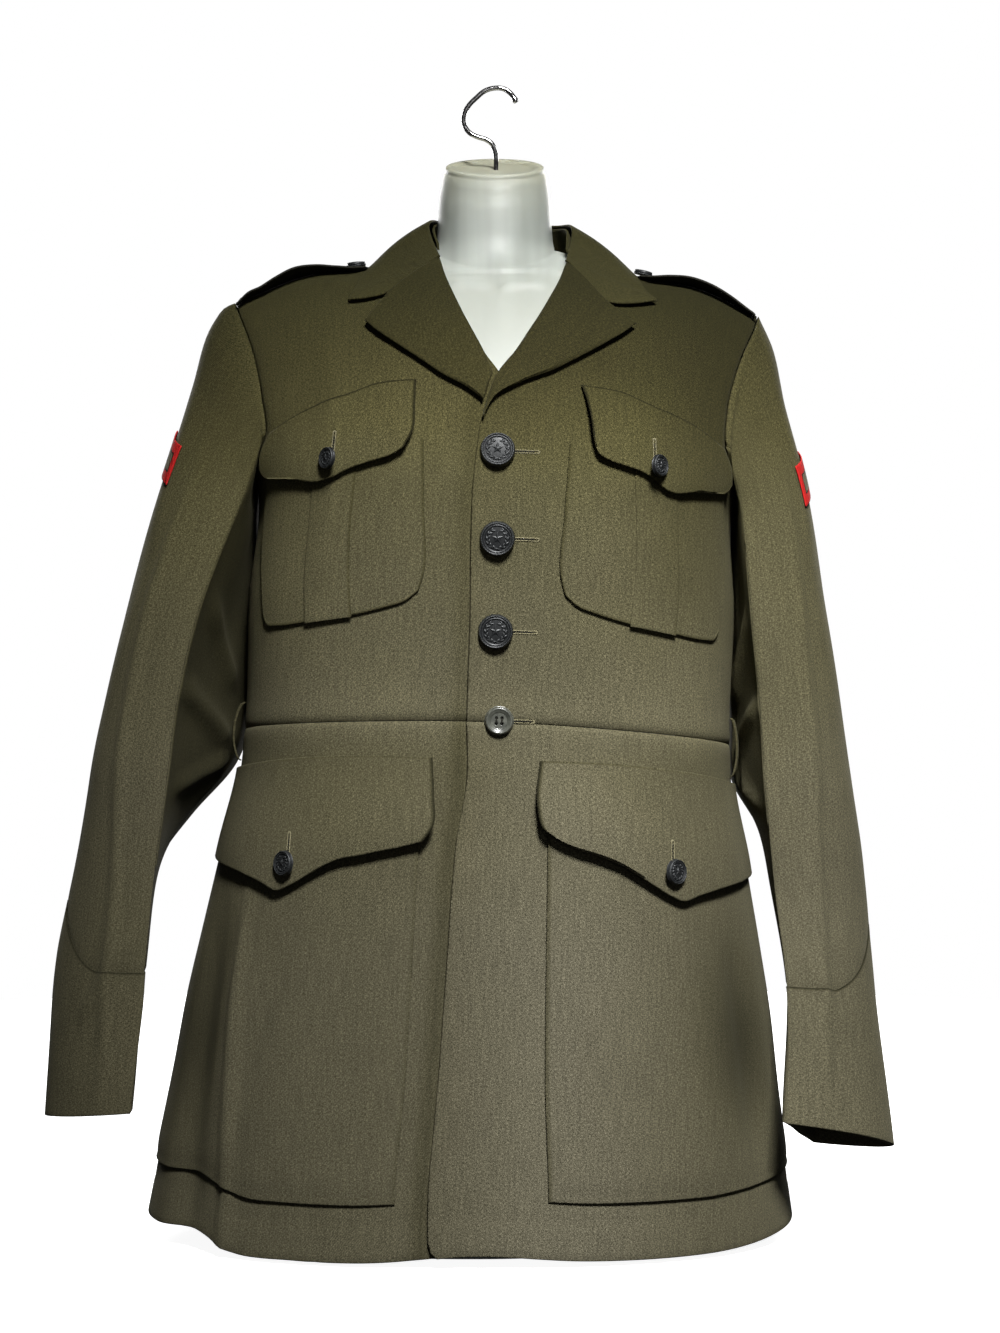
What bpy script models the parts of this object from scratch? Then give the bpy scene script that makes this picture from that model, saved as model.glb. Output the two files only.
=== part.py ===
"""Military dress tunic buttoned on a limbless dress form.

The coat is worked out symmetric about its own centre line, in its own frame: +X to the
wearer's left, -Y to the front, +Z up.  place() then sets it on the form, a little askew.
Every cloth piece is a wall between two grids of points: an outer grid on the coat's surface
and an inner grid one wall thickness under it.  A piece that lies on a panel takes its points
from the panel's own surface, moved out.
"""
import bpy
import numpy as np
from math import cos, pi, radians, sin

# ---------------------------------------------------------------- driving sizes, metres
WALL = 0.0018            # one layer of wool gabardine with its seam allowances
DOUBLE = 0.0022          # faced pieces: lapels, flaps and the collar
GAP = 0.0003             # between neighbouring pieces at a seam
LAY = 0.0009             # between a piece and the panel it lies on
CENTRE = 0.006           # coat's centre line, from the form's middle
SKEW = radians(1.9)      # the coat hangs askew on the form
PIVOT_Z = 0.79
CHEST_Z = 0.60           # level of the underarm
OVER = 0.19              # way up over the chest from CHEST_Z to the shoulder ridge
RIDGE = CHEST_Z + OVER
FRONT_ROUND, BACK_ROUND = 1.65, 2.0   # fullness of the shoulder's side profile

# Sections, upward: rise, half width, depth in front, depth behind, squareness
COAT = np.array([
    (-0.02, 0.267, 0.147, 0.139, 2.20),
    (0.06, 0.254, 0.144, 0.135, 2.20),
    (0.13, 0.242, 0.141, 0.131, 2.25),
    (0.18, 0.234, 0.138, 0.127, 2.30),
    (0.25, 0.220, 0.134, 0.121, 2.35),
    (0.30, 0.211, 0.131, 0.116, 2.40),
    (0.37, 0.199, 0.126, 0.110, 2.45),
    (0.41, 0.196, 0.123, 0.107, 2.50),
    (0.51, 0.197, 0.128, 0.114, 2.50),
    (0.60, 0.193, 0.135, 0.123, 2.50),
    (0.65, 0.207, 0.135, 0.123, 2.50),
    (0.70, 0.220, 0.135, 0.123, 2.50),
    (0.745, 0.230, 0.135, 0.123, 2.50),
    (0.79, 0.238, 0.135, 0.123, 2.50)])
FORM = np.array([
    (0.00, 0.168, 0.108, 0.108, 2.20),
    (0.12, 0.176, 0.114, 0.114, 2.20),
    (0.24, 0.172, 0.108, 0.104, 2.20),
    (0.40, 0.152, 0.098, 0.088, 2.30),
    (0.51, 0.166, 0.112, 0.100, 2.40),
    (0.60, 0.178, 0.126, 0.114, 2.50),
    (0.65, 0.187, 0.126, 0.114, 2.50),
    (0.70, 0.196, 0.126, 0.114, 2.50),
    (0.79, 0.206, 0.126, 0.114, 2.50)])
# Shoulder ridge: distance from the centre line, height, place front to back
RIDGE_LINE = np.array([
    (0.0000, 0.8120, 0.012),
    (0.0605, 0.8000, 0.012),
    (0.0850, 0.7890, 0.011),
    (0.1100, 0.7800, 0.010),
    (0.1370, 0.7765, 0.009),
    (0.1500, 0.7750, 0.008),
    (0.1650, 0.7710, 0.007),
    (0.1800, 0.7650, 0.006),
    (0.1970, 0.7570, 0.005),
    (0.2150, 0.7500, 0.004),
    (0.2400, 0.7390, 0.002)])
NECK_POINT = 0.0605      # where the shoulder seam meets the neck
SHOULDER_TIP = {-1: 0.2175, 1: 0.2089}   # outer end of the right and left shoulder seams
# Armhole: way from the underarm (0) by the front to the shoulder tip (1), rise, way round in degrees
# on the right and on the left.  Panels and sleeves share these places.
ARMHOLE = np.array([
    (0.000, 0.6000, 90.0, 90.0),
    (0.125, 0.6095, 78.1, 77.6),
    (0.250, 0.6186, 66.5, 65.6),
    (0.375, 0.6369, 58.1, 57.0),
    (0.500, 0.6606, 57.4, 54.2),
    (0.625, 0.6845, 57.7, 54.3),
    (0.750, 0.7097, 59.3, 55.6),
    (0.840, 0.7350, 61.0, 57.0),
    (0.920, 0.7620, 61.2, 56.9),
    (1.000, 0.7900, 60.03, 55.67)])
NECK_DROP = 26.4         # lean, in degrees, of the back neck seam at the centre back

# Front edge: height, distance past the centre line
FRONT_EDGE = np.array([
    (0.012, 0.032), (0.06, 0.033), (0.13, 0.029), (0.25, 0.024), (0.33, 0.020),
    (0.36, 0.015), (0.42, 0.016), (0.50, 0.016), (0.60, 0.017), (0.65, 0.013)])
UNDERLAP = 0.030         # hidden edge of the lower front, past the centre line
ROLL_LINE = np.array([   # from the break up to the gorge
    (-0.009, 0.658), (-0.002, 0.685), (0.012, 0.705), (0.0205, 0.720), (0.029, 0.735),
    (0.0365, 0.750), (0.0455, 0.770), (0.050, 0.784)])
LAPEL_EDGE = np.array([  # from the break out to the tip
    (0.000, 0.6565), (0.014, 0.669), (0.027, 0.679), (0.042, 0.687), (0.057, 0.6965),
    (0.070, 0.7045), (0.083, 0.7125), (0.096, 0.721), (0.1055, 0.729)])
LAPEL_START_RIGHT = (0.0045, 0.6875)      # the left front covers the right lapel below this
NOTCH = (0.087, 0.751)
COLLAR_TIP = (0.123, 0.7495)

VENT_TOP = 0.265
VENT_LAP = 0.018
# Hem height round the coat, from the wearer's right side (-90) by the front to the left
HEM = np.array([
    (-180, 0.011), (-135, 0.009), (-90, 0.010), (-70, 0.007), (-45, 0.001), (-30, -0.001), (-15, 0.002),
    (0, 0.010), (20, 0.008), (45, 0.011), (70, 0.019), (90, 0.023), (135, 0.020), (180, 0.011)])

CLOTH_COLOUR = (0.085, 0.078, 0.047)
BUTTON_COLOUR = (0.020, 0.020, 0.022)
FORM_COLOUR = (0.78, 0.78, 0.75)
RED = (0.42, 0.025, 0.025)


# ---------------------------------------------------------------- curves and surfaces
def smooth(at, knots, values):
    """Smooth curve through the values at the knots (cubic Hermite)."""
    knots, values = np.asarray(knots, float), np.asarray(values, float)
    slope = np.gradient(values, knots, axis=0)
    at = np.clip(at, knots[0], knots[-1])
    i = np.clip(np.searchsorted(knots, at) - 1, 0, len(knots) - 2)
    h = knots[i + 1] - knots[i]
    s = (at - knots[i]) / h
    s, h = [part.reshape(part.shape + (1,) * (values.ndim - 1)) for part in (s, h)]
    leaving = (values[i] * (1 + 2 * s) + slope[i] * h * s) * (1 - s) ** 2
    arriving = (values[i + 1] * (3 - 2 * s) + slope[i + 1] * h * (s - 1)) * s * s
    return leaving + arriving


def unit(vectors):
    return vectors / np.linalg.norm(vectors, axis=-1, keepdims=True)


def ease(t):
    """0 to 1, with level ends."""
    t = np.clip(t, 0, 1)
    return t * t * (3 - 2 * t)


def body(turn, rise, table=COAT):
    """Point of the coat's outer surface.

    turn is the way round in degrees: 0 centre front, 90 the wearer's left, 180 centre back.
    rise is the height up to CHEST_Z, and above it the way up over the chest to the ridge."""
    turn, rise = np.broadcast_arrays(np.radians(turn), rise)
    half_width, front, back, power = [smooth(rise, table[:, 0], table[:, k]) for k in (1, 2, 3, 4)]
    reach = (np.abs(np.sin(turn)) ** power + np.abs(np.cos(turn)) ** power) ** (-1 / power)
    x, ahead = half_width * reach * np.sin(turn), reach * np.cos(turn)
    lean = pi / 2 * (1 - np.clip((rise - CHEST_Z) / OVER, 0, 1))
    round_ = np.where(ahead > 0, FRONT_ROUND, BACK_ROUND)
    up, out = np.cos(lean) ** (2 / round_), np.sin(lean) ** (2 / round_)
    ridge_z = smooth(np.abs(x), RIDGE_LINE[:, 0], RIDGE_LINE[:, 1])
    ridge_y = np.interp(np.abs(x), RIDGE_LINE[:, 0], RIDGE_LINE[:, 2])
    y = ridge_y * (1 - out) - np.where(ahead > 0, front, back) * ahead * out
    z = np.where(rise < CHEST_Z, rise, CHEST_Z + (ridge_z - CHEST_Z) * up)
    return np.stack([x, y, z], -1)


def normal(turn, rise, step=0.6, climb=0.002):
    """Outward unit normal of the coat's surface."""
    across = body(turn + step, rise) - body(turn - step, rise)
    upward = body(turn, np.minimum(rise + climb, RIDGE)) - body(turn, np.minimum(rise, RIDGE - climb) - climb)
    return unit(np.cross(across, upward))


def lift(turn, rise, out):
    """Point of the coat's surface moved out along its normal."""
    turn, rise = np.asarray(turn, float), np.asarray(rise, float)
    return body(turn, rise) + normal(turn, rise) * np.asarray(out)[..., None]


def turn_at(x, rise, back=False):
    """Way round to the point x from the centre line, at this rise."""
    half_width, power = smooth(rise, COAT[:, 0], COAT[:, 1]), smooth(rise, COAT[:, 0], COAT[:, 4])
    share = np.clip(np.abs(x) / half_width, 0, 1)
    ahead = (1 - share ** power) ** (1 / power)
    turn = np.degrees(np.arctan2(share, -ahead if back else ahead))
    return np.sign(x) * turn if not back else turn


def seen(points, back=False):
    """(turn, rise) of points (distance from the centre line, height) seen from the front or back."""
    x, z = np.asarray(points, float).T
    ridge_z = smooth(np.abs(x), RIDGE_LINE[:, 0], RIDGE_LINE[:, 1])
    up = np.clip((z - CHEST_Z) / (ridge_z - CHEST_Z), 0, 1)
    lean = np.arccos(up ** ((BACK_ROUND if back else FRONT_ROUND) / 2))
    rise = np.where(z < CHEST_Z, z, CHEST_Z + OVER * (1 - lean / (pi / 2)))
    turn = turn_at(x, rise, back)
    if back:
        turn = np.where(x < 0, 360 - turn_at(-x, rise, True), turn)
    return np.stack([turn, rise], -1)


def over(x, lean):
    """(turn, rise) at distance x from the centre line; lean 0 is the ridge, negative to the front."""
    x, lean = np.broadcast_arrays(np.asarray(x, float), np.asarray(lean, float))
    rise = CHEST_Z + OVER * (1 - np.abs(lean) / 90)
    turn = np.where(lean <= 0, turn_at(x, rise), turn_at(x, rise, True))
    return np.stack([turn, rise], -1)


def along(points, count):
    """count + 1 points evenly spaced on the coat along a (turn, rise) polyline."""
    points = np.asarray(points, float)
    spans = [np.linspace(a, b, 12, endpoint=False) for a, b in zip(points, points[1:])]
    fine = np.concatenate(spans + [points[-1:]])
    steps = np.linalg.norm(np.diff(body(*fine.T), axis=0), axis=1)
    way = np.concatenate([[0], np.cumsum(steps)])
    at = np.linspace(0, way[-1], count + 1)
    return np.stack([np.interp(at, way, fine[:, 0]), np.interp(at, way, fine[:, 1])], -1)


def spread(bottom, top, left, right):
    """(turn, rise) grid between four edges (a Coons patch); bottom and top run left to right."""
    u = np.linspace(0, 1, len(bottom))[None, :, None]
    v = np.linspace(0, 1, len(left))[:, None, None]
    edges = (1 - v) * bottom[None] + v * top[None] + (1 - u) * left[:, None] + u * right[:, None]
    low_corners = (1 - v) * ((1 - u) * bottom[0] + u * bottom[-1])
    high_corners = v * ((1 - u) * top[0] + u * top[-1])
    return edges - low_corners - high_corners


def mirrored(points, side):
    """The same points on the wearer's left (side 1) or right (side -1)."""
    return points * np.array([side, 1, 1])


def place(points):
    """Set coat points on the form: shift to the coat's centre line, then lean it askew."""
    x, y, z = points[..., 0] + CENTRE, points[..., 1], points[..., 2] - PIVOT_Z
    return np.stack([x * cos(SKEW) + z * sin(SKEW), y, PIVOT_Z - x * sin(SKEW) + z * cos(SKEW)], -1)


# ---------------------------------------------------------------- solids
def material(name, colour, roughness, metallic=0.0):
    made = bpy.data.materials.get(name)
    if made is None:
        made = bpy.data.materials.new(name)
        made.use_nodes = True
        shader = made.node_tree.nodes["Principled BSDF"]
        shader.inputs["Base Color"].default_value = (*colour, 1)
        shader.inputs["Roughness"].default_value = roughness
        shader.inputs["Metallic"].default_value = metallic
    return made


def cloth():
    return material("cloth", CLOTH_COLOUR, 0.85)


def add_solid(name, points, faces, finish, edge_angle=40):
    """One closed body with its faces pointing out."""
    points = np.asarray(points, float)
    fans = [(f[0], f[k], f[k + 1]) for f in faces for k in range(1, len(f) - 1)]
    a, b, c = points[np.array(fans)].transpose(1, 0, 2)
    if (a * np.cross(b, c)).sum() < 0:
        faces = [tuple(reversed(f)) for f in faces]
    mesh = bpy.data.meshes.new(name)
    mesh.from_pydata(points.tolist(), [], faces)
    mesh.materials.append(finish)
    mesh.shade_smooth()
    mesh.set_sharp_from_angle(angle=radians(edge_angle))
    solid = bpy.data.objects.new(name, mesh)
    bpy.context.scene.collection.objects.link(solid)
    return solid


def wall(name, outer, inner, finish, ring=False):
    """Closed wall between two point grids; ring joins each row's end to its start.

    Each patch of four points is folded along the diagonal that stands further out."""
    rows, columns = outer.shape[:2]
    points = np.concatenate([outer.reshape(-1, 3), inner.reshape(-1, 3)])
    under = rows * columns
    spans = columns if ring else columns - 1
    faces = []

    def at(row, column, layer=0):
        return layer * under + row * columns + column % columns

    for r in range(rows - 1):
        for c in range(spans):
            patch = [at(r, c), at(r, c + 1), at(r + 1, c + 1), at(r + 1, c)]
            p, q = points[patch], points[[k + under for k in patch]]
            if np.dot(p[0] + p[2] - p[1] - p[3], p.mean(0) - q.mean(0)) < 0:
                patch = patch[1:] + patch[:1]
            for k in (1, 2):
                corner = (patch[0], patch[k], patch[k + 1])
                faces.append(corner)
                faces.append(tuple(under + index for index in reversed(corner)))
    for c in range(spans):
        last = rows - 1
        faces.append((at(0, c + 1), at(0, c), at(0, c, 1), at(0, c + 1, 1)))
        faces.append((at(last, c), at(last, c + 1), at(last, c + 1, 1), at(last, c, 1)))
    if not ring:
        for r in range(rows - 1):
            faces.append((at(r, 0), at(r + 1, 0), at(r + 1, 0, 1), at(r, 0, 1)))
            end = columns - 1
            faces.append((at(r + 1, end), at(r, end), at(r, end, 1), at(r + 1, end, 1)))
    return add_solid(name, points, faces, finish)


def piece(name, grid, side, out=0.0, thick=WALL, finish=None):
    """Cloth piece over a (turn, rise) grid: its outer face at out, its inner face thick under it."""
    turn, rise = grid[..., 0], grid[..., 1]
    out = np.broadcast_to(out, turn.shape)
    outer, inner = lift(turn, rise, out), lift(turn, rise, out - thick)
    return wall(name, place(mirrored(outer, side)), place(mirrored(inner, side)), finish or cloth())


def word(side):
    return "left" if side > 0 else "right"


# ---------------------------------------------------------------- fronts and back
SEAM_TURN = 0.05         # half the gap at the side seam, in degrees
ARM_ROWS, WAIST_ROWS, SKIRT_ROWS = len(ARMHOLE) - 1, 6, 8    # rows every panel shares at its side


def waist(turn):
    """Height of the waist seam, a little lower at the sides."""
    return 0.4165 - 0.0155 * ease(np.abs(turn) / 100)


def hem(turn, side):
    return np.interp(side * np.where(turn > 180, 360 - turn, turn), HEM[:, 0], HEM[:, 1])


def side_seam(rise):
    """The seam runs down from the underarm and a little to the back."""
    return 90 + 12 * ease((CHEST_Z - rise) / 0.16)


def side_line(side, part, shift):
    """(turn, rise) up the side seam: "skirt" from hem to waist, "waist" from waist to underarm."""
    low, high, rows = {"skirt": (hem(102, side), waist(102), SKIRT_ROWS),
                       "waist": (waist(102), CHEST_Z, WAIST_ROWS)}[part]
    heights = np.linspace(low, high, rows + 1)
    return np.stack([side_seam(heights) + shift, heights], -1)


def armhole(way, side):
    """(turn, rise) round the armhole: way 0 underarm, 1 shoulder tip by the front, -1 by the back."""
    far, knots = np.abs(way), ARMHOLE[:, 0]
    front = np.interp(far, knots, ARMHOLE[:, 3 if side > 0 else 2])
    return np.stack([np.where(way >= 0, front, 180 - front), np.interp(far, knots, ARMHOLE[:, 1])], -1)


def front_edge(side, heights):
    """Edge of one front as seen points; the wearer's left front laps over the right."""
    past = np.interp(heights, FRONT_EDGE[:, 0], FRONT_EDGE[:, 1]) if side > 0 else UNDERLAP
    return np.stack([-past * np.ones(len(heights)), heights], -1)


def front_drop(grid, side):
    """The right front runs under the left one near the centre line, up to the break."""
    if side > 0:
        return 0.0
    x = body(grid[..., 0], grid[..., 1])[..., 0]
    return -(WALL + LAY) * (1 - ease((x - 0.045) / 0.04)) * (1 - ease((grid[..., 1] - 0.664) / 0.035))


def chest_front(side, columns=11):
    edge = seen(front_edge(side, np.array([0.4175, 0.45, 0.50, 0.55, 0.60, 0.65])))
    roll = np.vstack([seen(ROLL_LINE), over(NECK_POINT, 0)[None]])
    left = np.concatenate([along(np.vstack([edge, roll[:1]]), WAIST_ROWS)[:-1], along(roll, ARM_ROWS)])
    right = np.concatenate([side_line(side, "waist", -SEAM_TURN)[:-1], armhole(ARMHOLE[:, 0], side)])
    turns = np.linspace(left[0, 0], right[0, 0], 12)
    bottom = along(np.stack([turns, waist(turns) + GAP / 2], -1), columns)
    top = along(over(np.linspace(NECK_POINT, SHOULDER_TIP[side], 12), -0.25), columns)
    left[0], right[0], left[-1], right[-1] = bottom[0], bottom[-1], top[0], top[-1]
    grid = spread(bottom, top, left, right)
    return piece("chest_front_" + word(side), grid, side, front_drop(grid, side))


def skirt_front(side, columns=11):
    heights = np.linspace(waist(0) - GAP / 2, 0.016, 10)
    left = along(seen(front_edge(side, heights)), SKIRT_ROWS)
    right = side_line(side, "skirt", -SEAM_TURN)[::-1]
    turns = np.linspace(left[0, 0], right[0, 0], 12)
    top = along(np.stack([turns, waist(turns) - GAP / 2], -1), columns)
    corner = seen(front_edge(side, np.array([hem(0, side) + 0.002])) + np.array([0.002, 0]))[0]
    foot = np.linspace(corner[0], right[-1, 0], 24)
    bottom = along(np.stack([foot, hem(foot, side)], -1), columns)
    bottom[0], bottom[-1] = corner, right[-1]
    left[0], left[-1], right[0] = top[0], bottom[0], top[-1]
    grid = spread(top, bottom, left, right)
    return piece("skirt_front_" + word(side), grid, side, front_drop(grid, side))


def back(side, columns=11):
    """Full-length back half, with a lapped vent below VENT_TOP at the centre."""
    vent = seen([(-VENT_LAP, 0.013), (-VENT_LAP, 0.13), (-VENT_LAP, VENT_TOP - 0.008)], True)
    closed = seen([(GAP / 2, z) for z in (VENT_TOP, 0.34, waist(102))], True)
    middle = seen([(GAP / 2, z) for z in (waist(102), 0.50, CHEST_Z)], True)
    neck_x = np.linspace(GAP / 2, NECK_POINT, 6)
    neck = over(neck_x, 0.25 + (NECK_DROP - 0.25) * np.sqrt(1 - (neck_x / NECK_POINT) ** 2))
    blades = np.stack([np.full(6, neck[0, 0]), np.linspace(CHEST_Z, neck[0, 1], 6)], -1)
    left = np.concatenate([along(vent, 5), along(closed, SKIRT_ROWS - 6)[:-1],
                           along(middle, WAIST_ROWS)[:-1], along(blades, ARM_ROWS)])
    right = np.concatenate([side_line(side, "skirt", SEAM_TURN)[:-1],
                            side_line(side, "waist", SEAM_TURN)[:-1],
                            armhole(-ARMHOLE[:, 0], side)])
    start = seen([(-VENT_LAP, hem(180, side))], True)
    foot = np.linspace(180, right[0, 0], 24)
    bottom = along(np.vstack([start, np.stack([foot, hem(foot, side)], -1)]), columns)
    shoulder = over(np.linspace(NECK_POINT, SHOULDER_TIP[side], 8), 0.25)
    top = np.concatenate([along(neck, 3)[:-1], along(shoulder, columns - 3)])
    bottom[-1] = right[0]
    left[0], left[-1], right[-1] = bottom[0], top[0], top[-1]
    grid = spread(bottom, top, left, right)
    drop = 0.0
    if side < 0:
        x = body(grid[..., 0], grid[..., 1])[..., 0]
        drop = -(WALL + LAY) * (1 - ease((x - 0.03) / 0.04)) * ease((VENT_TOP + 0.07 - grid[..., 1]) / 0.04)
    return piece("back_" + word(side), grid, side, drop)


# ---------------------------------------------------------------- lapels and collar
def lapel(side):
    roll, edge = ROLL_LINE.copy(), LAPEL_EDGE.copy()
    if side < 0:
        roll, edge = roll[1:], edge[1:]
        roll[0] = LAPEL_START_RIGHT
    left = along(seen(roll + np.array([0.0008, 0.0])), 8)
    right = along(seen(edge), 8)
    top = along(seen([roll[-1] + np.array([0.0008, -0.0008]), NOTCH, LAPEL_EDGE[-1]]) - np.array([0, GAP]), 4)
    bottom = along(np.stack([left[0], right[0]]), 4)
    left[-1], right[-1] = top[0], top[-1]
    grid = spread(bottom, top, left, right)
    across = np.linspace(0, 1, 5)[None, :]
    stand_off = LAY + DOUBLE + 0.0025 * np.sin(pi * across) ** 0.7 + 0.0012 * across
    out = front_drop(grid, side) + np.broadcast_to(stand_off, grid.shape[:2])
    return piece("lapel_" + word(side), grid, side, out, DOUBLE)


# Collar from the gorge (0) by the shoulder to the centre back (1)
COLLAR_WAY = (0.0, 0.22, 0.45, 0.72, 1.0)
COLLAR_ROLL = np.array([                 # roll line in coat points
    (0.0495, -0.034, 0.7865), (0.0560, -0.016, 0.8060), (0.0575, 0.004, 0.8215),
    (0.0440, 0.043, 0.8280), (0.0, 0.064, 0.8310)])
COLLAR_LEAF = np.array([                 # outer edge: distance from the centre line, lean over the shoulder
    (0.123, -38.0), (0.114, -21.0), (0.102, 0.0), (0.074, 27.0), (0.0, 34.0)])
COLLAR_ASKEW = -0.0033                   # the roll line sits a little to the wearer's right
GORGE = (0.0500, 0.7855)


def collar_lines(way):
    """Roll line, outer edge on the coat, and neck seam, at ways 0 gorge to 1 centre back."""
    roll = smooth(way, COLLAR_WAY, COLLAR_ROLL)
    leaf = over(*smooth(way, COLLAR_WAY, COLLAR_LEAF).T)
    front, behind = ease(way / 0.45), pi / 2 * np.clip((way - 0.45) / 0.55, 0, 1)
    seam_x = np.where(way < 0.45, 0.0495 + (NECK_POINT - 0.0495) * front, NECK_POINT * np.cos(behind))
    seam_lean = np.where(way < 0.45, -24 * (1 - front), NECK_DROP * np.sin(behind))
    return roll, leaf, over(seam_x, seam_lean)


def collar_half(rows=4, spans=9):
    """Outer-face points of the fall and of the stand on the wearer's left, and how free each is."""
    way = np.linspace(0, 1, spans + 1)
    roll, leaf, seam = collar_lines(way)
    down = np.linspace(0, 1, rows + 1)[:, None]
    gorge = seen(np.array([NOTCH, COLLAR_TIP]))
    start = seen([GORGE])
    front_end = along(np.vstack([start, gorge + np.array([0, GAP])]), rows)
    leaf[0] = front_end[-1]
    edge = lift(leaf[:, 0], leaf[:, 1], np.full(spans + 1, LAY + DOUBLE))
    free = roll[None] * (1 - down[..., None]) + edge[None] * down[..., None]
    outward = unit(free - np.array([0, 0.012, 0.775]))
    free = free + outward * (0.0045 * np.sin(pi * down) * ease(way / 0.4))[..., None]
    loose = ease(way / 0.40)
    on = [along(np.vstack([start * (1 - w) + over(roll[i, 0], -20.0 * (1 - w)) * w, leaf[i][None]]), rows)
          for i, w in enumerate(loose)]
    on = np.stack(on, 1)
    on[:, 0] = front_end
    lying = lift(on[..., 0], on[..., 1], np.full(on.shape[:2], LAY + DOUBLE))
    fall = lying * (1 - loose[None, :, None]) + free * loose[None, :, None]
    way = np.linspace(0.17, 1, spans + 1)
    roll, _, seam = collar_lines(way)
    foot = lift(seam[:, 0], seam[:, 1], np.full(spans + 1, 0.0016))
    top = roll * np.array([0.95, 0.95, 1]) + np.array([0, 0.0006, -0.0036])
    up = np.linspace(0, 1, 3)[:, None]
    stand = foot[None] * (1 - up[..., None]) + top[None] * up[..., None]
    return (fall, loose * (1 - down)), (stand, ease(way / 0.40) * up)


def grid_normals(points):
    """Unit normals of a grid from its neighbouring points."""
    return unit(np.cross(np.gradient(points, axis=1), np.gradient(points, axis=0)))


def collar():
    for name, (half, askew), thick in zip(("collar_fall", "collar_stand"), collar_half(), (DOUBLE, WALL)):
        whole = np.concatenate([half, mirrored(half, -1)[:, -2::-1]], 1)
        whole[..., 0] += COLLAR_ASKEW * np.concatenate([askew, askew[:, -2::-1]], 1)
        n = grid_normals(whole)
        middle = whole.shape[1] // 2
        if n[1, middle, 1] < 0:
            n = -n
        wall(name, place(whole), place(whole - n * thick), cloth())


# ---------------------------------------------------------------- sleeves
# Rings down the sleeve: level, outermost x, front crease x, hind seam x, innermost x, front crease y,
# hind seam y, rise of the outermost over the innermost, rise of the crease over the hind seam
SLEEVE_RIGHT = np.array([
    (0.5900, 0.2660, 0.196, 0.196, 0.1990, -0.064, 0.070, 0.060, 0.010),
    (0.5000, 0.2920, 0.230, 0.203, 0.1995, -0.066, 0.078, 0.020, 0.000),
    (0.4200, 0.3090, 0.247, 0.210, 0.2010, -0.062, 0.082, 0.000, 0.000),
    (0.3700, 0.3200, 0.252, 0.224, 0.2130, -0.060, 0.080, 0.000, 0.000),
    (0.3300, 0.3275, 0.256, 0.252, 0.2420, -0.058, 0.074, 0.000, 0.000),
    (0.2900, 0.3335, 0.260, 0.276, 0.2660, -0.058, 0.066, 0.000, 0.000),
    (0.2000, 0.3440, 0.265, 0.290, 0.2760, -0.068, 0.048, -0.005, 0.004),
    (0.0935, 0.3440, 0.270, 0.292, 0.2790, -0.085, 0.026, -0.014, 0.012)])
SLEEVE_LEFT = np.array([
    (0.5900, 0.2510, 0.194, 0.196, 0.1990, -0.064, 0.070, 0.060, 0.010),
    (0.5000, 0.2735, 0.206, 0.200, 0.1995, -0.070, 0.076, 0.020, 0.000),
    (0.4200, 0.2895, 0.216, 0.206, 0.2005, -0.066, 0.080, 0.000, 0.000),
    (0.3700, 0.2990, 0.221, 0.214, 0.2040, -0.066, 0.078, 0.000, 0.000),
    (0.3300, 0.3065, 0.226, 0.238, 0.2260, -0.065, 0.072, 0.000, 0.000),
    (0.2900, 0.3115, 0.231, 0.250, 0.2370, -0.065, 0.064, 0.000, 0.004),
    (0.2000, 0.3205, 0.242, 0.266, 0.2515, -0.085, 0.040, -0.006, 0.016),
    (0.0960, 0.3330, 0.242, 0.278, 0.2500, -0.110, 0.004, -0.012, 0.034)])
SLEEVE_HEAD = 0.16       # share of the way down where the first ring of the table comes
CROWN = [                # fullness of the sleeve head: share of the way down, right, left
    (0.03, 0.0070, 0.0035), (0.09, 0.0045, 0.0010)]
# Way round the sleeve, and the armhole's way it starts from; the seams meet the armhole at 0.375
AROUND = np.array([(0.0, -0.375), (0.2499, -1.0), (0.25, 1.0), (0.5, 0.375), (1.0, -0.375)])


def sleeve_table(side):
    return SLEEVE_LEFT if side > 0 else SLEEVE_RIGHT


def sleeve_ring(row, around):
    """Ring of points: around 0 hind seam, 0.25 outermost, 0.5 front seam, 0.75 innermost."""
    level, outer, fold, hind, inner, fold_y, hind_y, outer_rise, fold_rise = row
    fore = np.array([fold, fold_y, level + fold_rise / 2])
    aft = np.array([hind, hind_y, level - fold_rise / 2])
    middle, half = (fore + aft) / 2, (fore - aft) / 2
    outside = np.array([outer, middle[1], level + outer_rise / 2]) - middle
    inside = np.array([inner, middle[1], level - outer_rise / 2]) - middle
    angle = 2 * pi * around[:, None]
    bulge = np.where(around[:, None] <= 0.5, outside, inside)
    return middle - half * np.cos(angle) + bulge * np.abs(np.sin(angle)) ** 1.12


def keep_off_body(points):
    """Move sleeve points out sideways to lie clear of the coat's side, its flaps and belt loop."""
    x, y, z = points[..., 0], points[..., 1], points[..., 2]
    rise = np.minimum(z, CHEST_Z)
    half_width, front, behind, power = [smooth(rise, COAT[:, 0], COAT[:, k]) for k in (1, 2, 3, 4)]
    share = np.clip(np.abs(y) / np.where(y < 0, front, behind), 0, 0.98)
    across = (1 - share ** power) ** (1 / power)
    slope = np.sqrt(1 + 1.5 * (share / np.maximum(across, 0.2)) ** (2 * power - 2))
    near = np.full(x.shape, 0.0013)
    near += 0.0072 * ease((-y - 0.026) / 0.02) * ease((z - 0.46) / 0.03)
    near += 0.0077 * ease((-y + 0.010) / 0.02) * ease((z - 0.345) / 0.02) * ease((0.450 - z) / 0.02)
    near += 0.0062 * ease((-y + 0.015) / 0.02) * ease((0.360 - z) / 0.02)
    return np.stack([np.maximum(x, half_width * across + near * slope), y, z], -1)


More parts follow.
